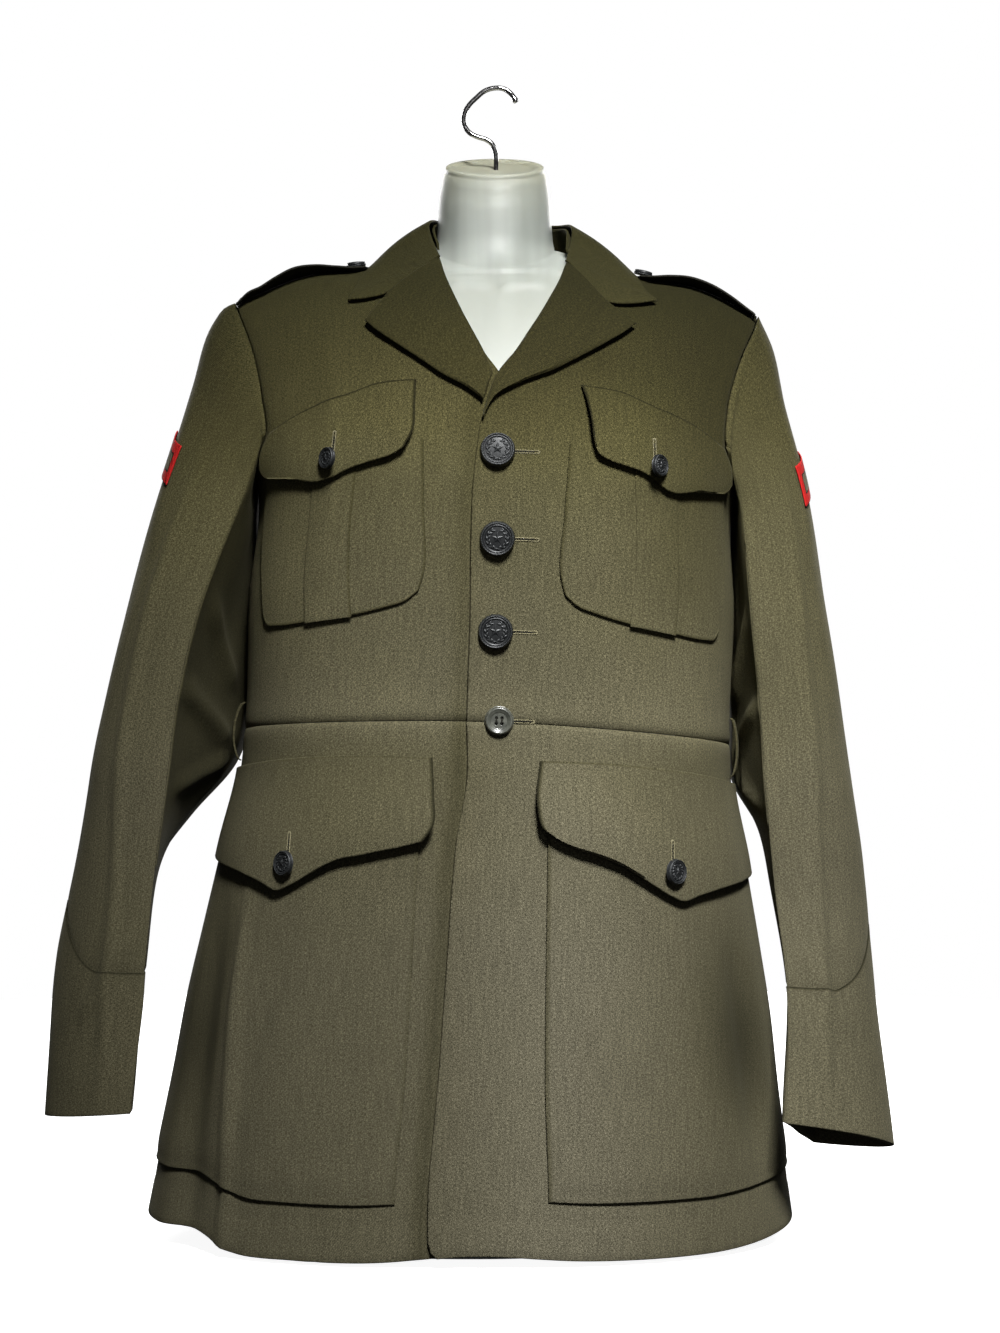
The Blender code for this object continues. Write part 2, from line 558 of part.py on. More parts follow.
def armhole_ring(side, around):
    """First sleeve ring on the armhole seam: outer points, and the wall's direction at each."""
    way = np.interp(around, *AROUND.T)
    spot = armhole(way, side)
    n = normal(spot[:, 0], spot[:, 1])
    one, other = armhole(np.clip(way + 0.06, -1, 1), side), armhole(np.clip(way - 0.06, -1, 1), side)
    away = unit(np.cross(body(*one.T) - body(*other.T), n))
    fold = pi * (1 - ease(np.abs(way) / 0.45))[:, None]
    face = n * np.cos(fold) - away * np.sin(fold)
    points = body(*spot.T) + GAP * 3.2 * (away * np.cos(fold / 2) + n * np.sin(fold / 2))
    return points, face


def sleeve_lines(side, around):
    """Places down the sleeve (0 armhole, 1 wrist), the ring of points at each, and the first wall."""
    table = sleeve_table(side)
    first, face = armhole_ring(side, around)
    rings = [sleeve_ring(row, around) for row in table]
    outward = np.sin(pi * np.clip(around / 0.5, 0, 1))
    crowns = []
    for down, right, left in CROWN:
        share = down / SLEEVE_HEAD
        crown = first * (1 - share) + rings[0] * share
        crown[:, 0] += outward * (left if side > 0 else right)
        crowns.append(crown)
    below = (table[0, 0] - table[:, 0]) / (table[0, 0] - table[-1, 0])
    knots = np.concatenate([[0.0], [row[0] for row in CROWN], SLEEVE_HEAD + (1 - SLEEVE_HEAD) * below])
    return knots, np.stack([first] + crowns + rings), face


def sleeve_columns():
    """Ways round the sleeve of its columns, which start from the armhole's own places."""
    ways = ARMHOLE[3:, 0]
    behind = 0.25 * (ways - ways[0]) / (1 - ways[0])
    return np.concatenate([behind, 0.5 - behind[-2::-1], np.linspace(0.5, 1, 7)[1:]])


def sleeve(side, rows=15):
    knots, rings, face = sleeve_lines(side, sleeve_columns())
    down = np.concatenate([np.linspace(0, SLEEVE_HEAD, 5)[:-1], np.linspace(SLEEVE_HEAD, 1, rows - 3)])
    outer = smooth(down, knots, rings)
    outer[1:] = keep_off_body(outer[1:])
    closed = np.concatenate([outer[:, -2:-1], outer, outer[:, 1:2]], 1)
    n = grid_normals(closed)[:, 1:-1]
    n[0] = face
    n[1] = 0.5 * face + 0.5 * n[1]
    inner = outer - unit(n) * WALL
    for name, first, last in (("sleeve_top_", 0, 12), ("sleeve_under_", 12, 18)):
        grids = [layer[:, first:last + 1].copy() for layer in (outer, inner)]
        near_top = np.clip(1 - np.arange(len(outer)) / 2, 0, 1)[:, None]
        for grid, gaps in zip(grids, (1.5, 2.6 + 3 * near_top)):
            for edge, neighbour in ((0, 1), (-1, -2)):
                grid[:, edge] += unit(grid[:, neighbour] - grid[:, edge]) * gaps * GAP
        wall(name + word(side), *[place(mirrored(grid, side)) for grid in grids], cloth())


def band_on_sleeve(side, around, downs, thick, off, closed):
    """Outer and inner points of a band lying off the sleeve, rows at the given places down it."""
    knots, rings, _ = sleeve_lines(side, around)
    grid = np.stack([[smooth(np.array([down]), knots, rings[:, i])[0] for i, down in enumerate(row)]
                     for row in downs])
    grid = keep_off_body(grid)
    if closed:
        n = grid_normals(np.concatenate([grid[:, -1:], grid, grid[:, :1]], 1))[:, 1:-1]
    else:
        n = grid_normals(grid)
    if n[1, len(around) // 4 if closed else len(around) // 2, 0] < 0:
        n = -n
    return [place(mirrored(grid + n * out, side)) for out in (off + thick, off)]


def cuff(side, plain=0.113, peak=0.052):
    """Pointed cuff: a band round the sleeve end, lying on it, with its point on the outer face."""
    table = sleeve_table(side)
    ring = sleeve_columns()[:-1]
    height = plain + peak * np.clip(1 - np.abs(ring - 0.25) / 0.15, 0, 1) ** 1.4
    length = table[0, 0] - table[-1, 0]
    downs = [1 - (1 - SLEEVE_HEAD) * height * share / length for share in np.linspace(1, 0, 5)]
    off = LAY + 0.0002 + 0.0009 * np.cos(2 * pi * ring)[:, None] ** 6
    layers = band_on_sleeve(side, ring, downs, 0.0016, off, True)
    wall("cuff_" + word(side), *layers, cloth(), ring=True)


def chevron(side, low=0.5975, high=0.6255, peak=0.016):
    """Cloth badge on the outer upper arm: one plain bent bar, point up."""
    across = np.linspace(-1, 1, 9)
    around = 0.25 + 0.078 * across
    knots, rings, _ = sleeve_lines(side, around)
    fine = np.linspace(0, 0.3, 61)
    levels = smooth(fine, knots, rings)[..., 2]
    downs = []
    for edge in np.linspace(high, low, 3):
        heights = edge + peak * (1 - np.abs(across))
        downs.append([np.interp(-h, -levels[:, i], fine) for i, h in enumerate(heights)])
    wall("chevron_" + word(side), *band_on_sleeve(side, around, downs, 0.0012, LAY, False),
         material("badge", RED, 0.8))


# ---------------------------------------------------------------- pockets, flaps and straps
UPPER_FLAP_TOP = [
    (0.0635, 0.679), (0.096, 0.674), (0.120, 0.6645), (0.148, 0.654), (0.171, 0.641), (0.178, 0.636)]
UPPER_FLAP_IN = [(0.0635, 0.679), (0.0655, 0.659), (0.0675, 0.6455), (0.075, 0.6335)]
UPPER_FLAP_OUT = [(0.178, 0.636), (0.182, 0.622), (0.182, 0.609)]
UPPER_FLAP_LOW = [
    (0.075, 0.6335), (0.088, 0.6235), (0.104, 0.6165), (0.118, 0.607), (0.129, 0.599),
    (0.134, 0.5975), (0.150, 0.5995), (0.166, 0.600), (0.177, 0.602), (0.182, 0.609)]
UPPER_BUTTON = (0.1245, 0.6155)
UPPER_POCKET_TOP = [(0.056, 0.632), (0.120, 0.632), (0.180, 0.619)]
UPPER_POCKET_IN = [(0.056, 0.632), (0.0535, 0.580), (0.0525, 0.528), (0.056, 0.5155)]
UPPER_POCKET_OUT = [(0.180, 0.619), (0.181, 0.570), (0.180, 0.515), (0.1775, 0.492)]
UPPER_POCKET_LOW = [
    (0.056, 0.5155), (0.066, 0.507), (0.080, 0.502), (0.104, 0.4955), (0.140, 0.489),
    (0.166, 0.485), (0.174, 0.4855), (0.1775, 0.492)]
PLEAT = (0.108, 0.141)   # box pleat of the upper pocket

LOWER_FLAP_IN = [(0.041, 0.388), (0.0395, 0.353), (0.044, 0.336), (0.055, 0.328)]
LOWER_FLAP_LOW = [
    (0.055, 0.328), (0.069, 0.3215), (0.088, 0.3155), (0.106, 0.309), (0.119, 0.301), (0.131, 0.2925),
    (0.143, 0.286), (0.154, 0.2825), (0.165, 0.285), (0.180, 0.290), (0.200, 0.2945)]
LOWER_BUTTON = (0.148, 0.3015)
LOWER_POCKET_IN = [(0.0485, 0.352), (0.0500, 0.278), (0.0530, 0.140), (0.0580, 0.060)]
POCKET_WALL = 0.0016


def flap_grid(top, low, left, right, columns, rows):
    edge_left, edge_right = along(left, rows), along(right, rows)
    edge_top, edge_low = along(top, columns), along(low, columns)
    edge_left[0], edge_left[-1] = edge_top[0], edge_low[0]
    edge_right[0], edge_right[-1] = edge_top[-1], edge_low[-1]
    return spread(edge_top, edge_low, edge_left, edge_right)


def upper_pocket(side):
    """Patch pocket with a raised box pleat."""
    grid = flap_grid(seen(UPPER_POCKET_TOP), seen(UPPER_POCKET_LOW), seen(UPPER_POCKET_IN),
                     seen(UPPER_POCKET_OUT), 10, 6)
    turn, rise = grid[..., 0], grid[..., 1]
    middle = body(turn, rise)[..., 0]
    pleat = (middle > PLEAT[0] - 0.004) & (middle < PLEAT[1] + 0.004)
    out = front_drop(grid, side) + LAY
    outer, inner = lift(turn, rise, out + POCKET_WALL + 0.0008 * pleat), lift(turn, rise, out + 0 * turn)
    wall("upper_pocket_" + word(side), place(mirrored(outer, side)), place(mirrored(inner, side)), cloth())


def upper_flap(side, off=0.0034):
    grid = flap_grid(seen(UPPER_FLAP_TOP), seen(UPPER_FLAP_LOW), seen(UPPER_FLAP_IN),
                     seen(UPPER_FLAP_OUT), 10, 5)
    down = np.linspace(0, 1, 6)[:, None]
    away = front_drop(grid, side) + LAY + off * ease(down / 0.45)
    piece("upper_flap_" + word(side), grid, side, away + DOUBLE, DOUBLE)
    button("upper_flap_button_" + word(side), seen([UPPER_BUTTON])[0], side, LAY + DOUBLE + off, 0.0085)


def lower_pocket(side):
    """Full patch pocket hanging free of the skirt, round to the side."""
    start, foot_start = seen(LOWER_POCKET_IN[:1])[0, 0], seen(LOWER_POCKET_IN[-1:])[0, 0]
    foot = np.linspace(foot_start, 89, 12)
    top = np.stack([np.linspace(start, 88, 12), np.linspace(0.352, 0.335, 12)], -1)
    low = np.stack([foot, hem(foot, side) + 0.044], -1)
    outer_edge = np.stack([np.linspace(88, 89, 8), np.linspace(0.335, low[-1, 1], 8)], -1)
    inner_edge = np.vstack([seen(LOWER_POCKET_IN), low[:1]])
    grid = flap_grid(top, low, inner_edge, outer_edge, 9, 7)
    across, down = np.linspace(0, 1, 10)[None, :], np.linspace(0, 1, 8)[:, None]
    full = 0.0035 * np.sin(pi * across) ** 0.6 * np.sin(pi * (0.15 + 0.75 * down)) * ease(down / 0.35)
    away = front_drop(grid, side) + LAY + 0.0004 + full
    piece("lower_pocket_" + word(side), grid, side, away + POCKET_WALL, POCKET_WALL)


def lower_flap(side, off=0.0062, off_side=0.0034):
    start = seen(LOWER_FLAP_IN[:1])[0]
    turns = np.linspace(start[0], 88, 12)
    top = np.stack([turns, 0.388 - 0.018 * ease((turns - 20) / 70)], -1)
    low = np.vstack([seen(LOWER_FLAP_LOW), [(86.0, 0.298)]])
    inner_edge = seen(LOWER_FLAP_IN)
    outer_edge = np.stack([np.linspace(88, 86, 6), np.linspace(top[-1, 1], low[-1, 1], 6)], -1)
    grid = flap_grid(top, low, inner_edge, outer_edge, 12, 5)
    across, down = np.linspace(0, 1, 13)[None, :], np.linspace(0, 1, 6)[:, None]
    away = 0.0003 + (off + (off_side - off) * ease((across - 0.62) / 0.3)) * ease(down / 0.5)
    piece("lower_flap_" + word(side), grid, side, front_drop(grid, side) + LAY + DOUBLE + away, DOUBLE)
    button("lower_flap_button_" + word(side), seen([LOWER_BUTTON])[0], side, LAY + DOUBLE + off, 0.00975)


# Shoulder strap: distance from the centre line, bow over the right shoulder, bow over the left one,
# half width ahead of the ridge and behind it, in degrees of lean
STRAP = np.array([
    (0.2130, 0.0003, 0.0003, 18.5, 16.0),
    (0.2020, 0.0055, 0.0006, 18.0, 15.5),
    (0.1910, 0.0032, 0.0010, 17.0, 14.5),
    (0.1780, 0.0045, 0.0014, 16.0, 13.5),
    (0.1640, 0.0055, 0.0012, 15.0, 12.5),
    (0.1490, 0.0034, 0.0009, 14.0, 11.5),
    (0.1350, 0.0014, 0.0006, 13.0, 10.5),
    (0.1200, 0.0002, 0.0004, 12.4, 10.0),
    (0.1100, 0.0000, 0.0002, 9.0, 7.5)])
STRAP_WALL = 0.0028
STRAP_BUTTON = {-1: 0.1195, 1: 0.1140}


def epaulette(side):
    """Strap from the sleeve head to the collar, buttoned at its inner end."""
    ahead, behind = np.array([[1.0, 0.45, 0, 0, 0]]), np.array([[0, 0, 0, 0.45, 1.0]])
    leans = STRAP[:, 4:5] * behind - STRAP[:, 3:4] * ahead
    reach = STRAP[:, :1] * np.ones((1, 5))
    reach[0] = SHOULDER_TIP[side] - 0.0042
    reach[-1] = np.interp(leans[-1], COLLAR_LEAF[:, 1], COLLAR_LEAF[:, 0]) + 0.0038
    bow = STRAP[:, 2 if side > 0 else 1][:, None]
    grid = over(reach, leans)
    piece("epaulette_" + word(side), grid, side, LAY + STRAP_WALL + bow, STRAP_WALL)
    x = STRAP_BUTTON[side]
    bow_there = np.interp(x, STRAP[::-1, 0], bow[::-1, 0])
    button("epaulette_button_" + word(side), over(x, -0.6), side, LAY + STRAP_WALL + bow_there, 0.0085)


def belt_loop(side):
    levels = np.linspace(0.424, 0.3765, 6)[:, None] * np.ones((1, 2))
    grid = np.stack([np.array([[76.0, 81.0]]) * np.ones((6, 1)), levels], -1)
    stand_off = 0.0040 * np.sin(np.linspace(0, pi, 6))[:, None] ** 0.6
    piece("belt_loop_" + word(side), grid, side, LAY + WALL + stand_off, WALL)


# ---------------------------------------------------------------- buttons
BUTTON_PROFILE = [       # share of the radius, height over the cloth in metres
    (0.00, 0.0005), (0.26, 0.0005), (0.26, 0.0020), (0.90, 0.0022), (1.00, 0.0032),
    (0.97, 0.0045), (0.80, 0.0056), (0.00, 0.0070)]


def button(name, spot, side, out, radius, profile=BUTTON_PROFILE, sides=14):
    """Button turned about the cloth's normal at a (turn, rise) spot."""
    centre = mirrored(lift(spot[0], spot[1], out), side)
    axis = mirrored(normal(spot[0], spot[1]), side)
    across = unit(np.cross(axis, (0, 1, 0) if abs(axis[2]) > 0.8 else (0, 0, 1)))
    upward = np.cross(across, axis)
    points, faces = [centre + axis * profile[0][1]], []
    for share, height in profile[1:-1]:
        for k in range(sides):
            spoke = across * cos(2 * pi * k / sides) + upward * sin(2 * pi * k / sides)
            points.append(centre + axis * height + spoke * radius * share)
    points.append(centre + axis * profile[-1][1])
    rings, last = len(profile) - 2, len(points) - 1
    for k in range(sides):
        nxt = (k + 1) % sides
        faces.append((0, 1 + nxt, 1 + k))
        for ring in range(rings - 1):
            a, b = 1 + ring * sides, 1 + (ring + 1) * sides
            faces.append((a + k, a + nxt, b + nxt, b + k))
        faces.append((last, last - sides + k, last - sides + nxt))
    return add_solid(name, place(np.array(points)), faces, material("button", BUTTON_COLOUR, 0.35, 0.6))


FRONT_BUTTONS = [        # name, distance from the centre line, height, radius
    ("front_button_1", 0.001, 0.624, 0.0135), ("front_button_2", 0.003, 0.557, 0.0135),
    ("front_button_3", 0.004, 0.486, 0.0135), ("waist_button", 0.009, 0.4175, 0.0113)]


# ---------------------------------------------------------------- dress form
NECK_X, NECK_Y = -0.001, 0.006       # the form's own upright axis
NECK = [(0.0475, 0.806), (0.0466, 0.818), (0.0453, 0.838), (0.0425, 0.856), (0.0395, 0.8625), (0.0385, 0.865)]
NECK_FOOT = 0.0485                   # radius where the neck leaves the shoulders
FORM_UNDER = 0.0039                  # form's shoulder ridge under the coat's outer surface


def form_level(x, y):
    """Height of the form's shoulders at one place."""
    lean = np.linspace(0, pi / 2, 60)
    rise = CHEST_Z + OVER * (1 - lean / (pi / 2))
    half_width, power = smooth(rise, FORM[:, 0], FORM[:, 1]), smooth(rise, FORM[:, 0], FORM[:, 4])
    ahead = (1 - np.clip(abs(x) / half_width, 0, 1) ** power) ** (1 / power)
    ridge_z = smooth(np.array(abs(x)), RIDGE_LINE[:, 0], RIDGE_LINE[:, 1]) - FORM_UNDER
    ridge_y = np.interp(abs(x), RIDGE_LINE[:, 0], RIDGE_LINE[:, 2])
    way, depth, round_ = (-1, FORM[5, 2], FRONT_ROUND) if y < ridge_y else (1, FORM[5, 3], BACK_ROUND)
    up, out = np.cos(lean) ** (2 / round_), np.sin(lean) ** (2 / round_)
    reach = way * ridge_y * (1 - out) + depth * ahead * out
    return np.interp(way * y, reach, CHEST_Z + (ridge_z - CHEST_Z) * up)


def form(sides=24):
    """Limbless torso: flat base, waist, chest, shoulders, and a neck closed by a flat cap."""
    turn = np.linspace(0, 360, sides + 1)[:-1]
    circle = np.stack([np.sin(np.radians(turn)), -np.cos(np.radians(turn))], -1)
    rings = []
    for level in (0.0, 0.08, 0.16, 0.24, 0.32, 0.40, 0.48, 0.55, 0.60):
        ring = place(body(turn, level, FORM))
        ring[:, 2] += (level - ring[:, 2]) * (1 - ease(level / 0.40))
        rings.append(ring)
    chest = body(turn, CHEST_Z, FORM)[:, :2]
    foot = NECK_FOOT * circle + np.array([NECK_X - CENTRE, NECK_Y])
    for share in (0.06, 0.20, 0.40, 0.60, 0.80, 1.0):
        flat = chest * (1 - share) + foot * share
        rings.append(place(np.array([(x, y, form_level(x, y)) for x, y in flat])))
    for radius, level in NECK:
        flat = radius * circle + np.array([NECK_X, NECK_Y])
        rings.append(np.concatenate([flat, np.full((sides, 1), level)], 1))
    points, faces = tube(rings)
    add_solid("form_torso", points, faces, material("form", FORM_COLOUR, 0.3))


def tube(rings):
    """Points and faces of a body through rings of points, its ends closed flat."""
    sides, faces = len(rings[0]), []
    for r in range(len(rings) - 1):
        for c in range(sides):
            a, b = r * sides + c, r * sides + (c + 1) % sides
            faces.append((a, b, b + sides, a + sides))
    last = sides * (len(rings) - 1)
    return np.concatenate(rings), faces + [tuple(range(sides))[::-1], tuple(range(last, last + sides))]


HOOK_WIRE = 0.002        # radius
HOOK = [                 # the wire's middle, from the neck cap: across, up
    (0.0000, 0.8673), (0.0000, 0.8732), (-0.0010, 0.8813), (-0.0032, 0.8862), (-0.0073, 0.8895),
    (-0.0147, 0.8920), (-0.0212, 0.8952), (-0.0253, 0.9005), (-0.0264, 0.9075), (-0.0253, 0.9124),
    (-0.0220, 0.9181), (-0.0163, 0.9239), (-0.0090, 0.9298), (-0.0016, 0.9320), (0.0062, 0.9315),
    (0.0118, 0.9279), (0.0168, 0.9206)]


def hook(sides=10):
    """Bent wire: up from the neck cap, aside, and over a round bend to a tip."""
    route = np.array(HOOK)
    route[0, 1] = NECK[-1][1] + GAP
    run = unit(np.gradient(route, axis=0))
    run[0] = (0, 1)
    angle = 2 * pi * np.arange(sides) / sides
    aside, ahead = HOOK_WIRE * np.cos(angle), HOOK_WIRE * np.sin(angle)
    rings = [np.stack([x + dz * aside, NECK_Y + ahead, z - dx * aside], -1)
             for (x, z), (dx, dz) in zip(route, run)]
    points, faces = tube(rings)
    add_solid("form_hook", points, faces, material("wire", (0.75, 0.75, 0.76), 0.2, 1.0))


# ---------------------------------------------------------------- the whole part
def main():
    for old in list(bpy.data.objects):
        bpy.data.objects.remove(old)
    form()
    hook()
    collar()
    for side in (1, -1):
        chest_front(side)
        skirt_front(side)
        back(side)
        lapel(side)
        sleeve(side)
        cuff(side)
        chevron(side)
        upper_pocket(side)
        upper_flap(side)
        lower_pocket(side)
        lower_flap(side)
        epaulette(side)
        belt_loop(side)
    for name, x, z, radius in FRONT_BUTTONS:
        button(name, seen([(x, z)])[0], 1, 0.0, radius)


main()
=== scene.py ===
"""Dress tunic on a limbless dress form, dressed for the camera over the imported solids.

The coat is worked out symmetric about its own centre line, in its own frame: +X to the
wearer's left, -Y to the front, +Z up.  put() then sets it on the form, a little askew.
Each cloth piece is a thin closed shell with rounded edges over a fine grid of
(turn, rise) points; turn is the way round in degrees, rise the way up.
side is 1 on the wearer's left and -1 on the right.
"""
import bpy
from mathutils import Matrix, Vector
import numpy as np
from math import cos, pi, radians, sin


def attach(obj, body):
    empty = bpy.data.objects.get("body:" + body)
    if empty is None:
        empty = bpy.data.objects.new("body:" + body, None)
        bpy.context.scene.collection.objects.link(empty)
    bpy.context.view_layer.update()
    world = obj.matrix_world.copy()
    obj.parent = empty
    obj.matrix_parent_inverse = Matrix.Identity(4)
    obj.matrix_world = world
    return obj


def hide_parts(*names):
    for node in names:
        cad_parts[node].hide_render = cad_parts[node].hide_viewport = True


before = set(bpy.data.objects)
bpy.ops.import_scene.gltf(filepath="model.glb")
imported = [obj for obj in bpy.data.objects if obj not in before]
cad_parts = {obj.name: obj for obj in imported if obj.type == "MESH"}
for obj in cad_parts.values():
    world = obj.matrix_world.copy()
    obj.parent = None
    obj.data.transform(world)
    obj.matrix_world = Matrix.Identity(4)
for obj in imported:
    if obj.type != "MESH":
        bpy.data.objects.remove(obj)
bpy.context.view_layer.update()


def mm(rows):
    """A table of thousandths, in metres."""
    return np.array(rows) / 1000


# ---------------------------------------------------------------- driving sizes, metres
WALL = 0.0018            # one layer of wool gabardine with its seam allowances
DOUBLE = 0.0022          # faced pieces: lapels, flaps and the collar
GAP = 0.0003             # between neighbouring pieces at a seam
LAY = 0.0009             # between a piece and the panel it lies on
CENTRE = 0.006           # coat's centre line, from the form's middle
SKEW, PIVOT_Z = radians(1.9), 0.79    # the coat hangs askew, turned about a point at this height
CHEST_Z, OVER = 0.60, 0.19            # underarm level; way up over the chest from it to the ridge
RIDGE = CHEST_Z + OVER
FRONT_ROUND, BACK_ROUND = 1.65, 2.0   # fullness of the shoulder's side profile

# Sections, upward, in thousandths: rise, half width, depth in front, depth behind, squareness
COAT = mm([
    (-20, 267, 147, 139, 2200), (60, 254, 144, 135, 2200), (130, 242, 141, 131, 2250),
    (180, 234, 138, 127, 2300), (250, 220, 134, 121, 2350), (300, 211, 131, 116, 2400),
    (370, 199, 126, 110, 2450), (410, 196, 123, 107, 2500), (510, 197, 128, 114, 2500),
    (600, 193, 135, 123, 2500), (650, 207, 135, 123, 2500), (700, 220, 135, 123, 2500),
    (745, 230, 135, 123, 2500), (790, 238, 135, 123, 2500)])
FORM = mm([
    (0, 168, 108, 108, 2200), (120, 176, 114, 114, 2200), (240, 172, 108, 104, 2200),
    (400, 152, 98, 88, 2300), (510, 166, 112, 100, 2400), (600, 178, 126, 114, 2500),
    (650, 187, 126, 114, 2500), (700, 196, 126, 114, 2500), (790, 206, 126, 114, 2500)])
# Shoulder ridge, mm: distance from the centre line, height, place front to back
RIDGE_LINE = mm([
    (0, 812, 12), (60.5, 800, 12), (85, 789, 11), (110, 780, 10), (137, 776.5, 9), (150, 775, 8),
    (165, 771, 7), (180, 765, 6), (197, 757, 5), (215, 750, 4), (240, 739, 2)])
NECK_POINT = 0.0605      # where the shoulder seam meets the neck
NECK_DROP = 26.4         # lean, in degrees, of the back neck seam at the centre back
SHOULDER_TIP = {-1: 0.2175, 1: 0.2089}   # outer end of the shoulder seam
# Armhole: way from the underarm (0) by the front to the shoulder tip (1), rise, way round in
# degrees on the right and on the left.  Panels and sleeves share these places.
ARMHOLE = np.array([
    (0.000, 0.6000, 90.0, 90.0), (0.125, 0.6095, 78.1, 77.6), (0.250, 0.6186, 66.5, 65.6),
    (0.375, 0.6369, 58.1, 57.0), (0.500, 0.6606, 57.4, 54.2), (0.625, 0.6845, 57.7, 54.3),
    (0.750, 0.7097, 59.3, 55.6), (0.840, 0.7350, 61.0, 57.0), (0.920, 0.7620, 61.2, 56.9),
    (1.000, 0.7900, 60.03, 55.67)])

FRONT_EDGE = mm([        # height, distance past the centre line
    (12, 32), (60, 33), (130, 29), (250, 24), (330, 20), (360, 15), (420, 16), (500, 16), (600, 17), (650, 13)])
UNDERLAP = 0.030         # hidden edge of the lower front, past the centre line
# Seen points, mm: distance from the centre line, height
ROLL = [(-2, 685), (12, 705), (20.5, 720), (29, 735), (36.5, 750), (45.5, 770), (50, 784)]
ROLL_LINE = {-1: mm([(-9, 658)] + ROLL), 1: mm([(-12.8, 649)] + ROLL)}     # from the break to the gorge
LAPEL_ROLL = {-1: mm([(4, 688)] + ROLL[1:]), 1: ROLL_LINE[1]}    # the left front covers the start of the right
LAPEL_EDGE = {           # from the break out to the tip
    -1: mm([(11.2, 663.2), (25, 673), (42, 681.5), (57, 691), (70, 699), (83, 707), (96, 715.5), (105.5, 723.5)]),
    1: mm([(-10.8, 648), (-3, 663.5), (14, 675), (27, 681.5), (42, 688.5), (57, 697), (70, 704.5), (83, 712.5),
           (96, 721), (105.5, 729)])}
NOTCH = {-1: (0.087, 0.751), 1: (0.0805, 0.7490)}
COLLAR_TIP = {-1: (0.1215, 0.7425), 1: (0.1235, 0.7512)}

VENT_TOP, VENT_LAP = 0.265, 0.018
HEM = np.array([         # way round from the wearer's right side (-90) by the front, height
    (-180, 0.011), (-135, 0.009), (-90, 0.010), (-70, 0.009), (-50, 0.0080), (-45, 0.0012), (-30, -0.001),
    (-15, 0.002), (0, 0.010), (20, 0.008), (45, 0.011), (70, 0.019), (90, 0.023), (135, 0.020), (180, 0.011)])
SEAM_TURN = 0.04         # half the gap at the side seam, in degrees
ARM_ROWS, WAIST_ROWS, SKIRT_ROWS = 52, 42, 92    # rows every panel shares at its side

# Folds of the body: side (0 both), start turn and rise, end turn and rise, half width, height
FOLDS = [
    (-1, 34, 0.72, 40, 0.50, 0.012, 0.0022), (1, 8, 0.655, 26, 0.675, 0.009, -0.0025),
    (-1, 52, 0.27, 44.5, -0.03, 0.0055, 0.0046), (-1, 63, 0.26, 56, -0.03, 0.021, -0.0075),
    (-1, 27, 0.04, 26, -0.01, 0.0030, -0.0014), (-1, 40, 0.24, 48, 0.02, 0.014, -0.0030),
    (1, 57, 0.25, 60, 0.07, 0.018, -0.0060), (1, 40, 0.27, 44, 0.02, 0.016, 0.0030),
    (0, 130, 0.36, 135, 0.03, 0.020, 0.0045), (0, 155, 0.30, 158, 0.04, 0.016, -0.0030),
    (0, 112, 0.40, 118, 0.10, 0.016, -0.0030), (0, 140, 0.56, 150, 0.44, 0.016, 0.0030),
    (0, 120, 0.62, 135, 0.55, 0.012, -0.0022)]
# Folds of the sleeves: side, way round and down at the start and at the end, half width, height
SLEEVE_FOLDS = [
    (0, 0.39, 0.20, 0.43, 0.95, 0.0045, 0.0036), (0, 0.52, 0.42, 0.70, 0.50, 0.008, 0.0070),
    (0, 0.55, 0.56, 0.72, 0.52, 0.007, 0.0055), (0, 0.56, 0.30, 0.68, 0.42, 0.007, 0.0060),
    (0, 0.10, 0.48, 0.02, 0.56, 0.010, 0.0024), (0, 0.46, 0.76, 0.38, 0.87, 0.005, 0.0028),
    (0, 0.30, 0.03, 0.34, 0.25, 0.012, 0.0020)]
WORD = {-1: "_right", 1: "_left"}


# ---------------------------------------------------------------- curves and surfaces
def smooth(at, knots, values):
    """Smooth curve through the values at the knots (cubic Hermite)."""
    knots, values = np.asarray(knots, float), np.asarray(values, float)
    slope = np.gradient(values, knots, axis=0)
    at = np.clip(at, knots[0], knots[-1])
    i = np.clip(np.searchsorted(knots, at) - 1, 0, len(knots) - 2)
    h = knots[i + 1] - knots[i]
    s = (at - knots[i]) / h
    s, h = [part.reshape(part.shape + (1,) * (values.ndim - 1)) for part in (s, h)]
    leaving = (values[i] * (1 + 2 * s) + slope[i] * h * s) * (1 - s) ** 2
    arriving = (values[i + 1] * (3 - 2 * s) + slope[i + 1] * h * (s - 1)) * s * s
    return leaving + arriving


def column(table, at, k=1):
    """Smooth value of column k of a table at places in its first column."""
    return smooth(at, table[:, 0], table[:, k])


def unit(vectors):
    return vectors / np.maximum(np.linalg.norm(vectors, axis=-1, keepdims=True), 1e-12)


def ease(value, start=0.0, span=1.0):
    """0 to 1 with level ends, from start over span; a negative span falls."""
    t = np.clip((value - start) / span, 0, 1)
    return t * t * (3 - 2 * t)


def bell(value, middle=0.0, width=1.0):
    return np.exp(-((value - middle) / width) ** 2)


def ridge(x):
    """Height of the shoulder ridge at distance x, and its place front to back."""
    return column(RIDGE_LINE, np.abs(x)), np.interp(np.abs(x), *RIDGE_LINE[:, ::2].T)


def shoulder(lean, fore):
    """Shares of height and depth on the shoulder's side profile, at a lean from its ridge."""
    power = 2 / np.where(fore, FRONT_ROUND, BACK_ROUND)
    return np.cos(lean) ** power, np.sin(lean) ** power


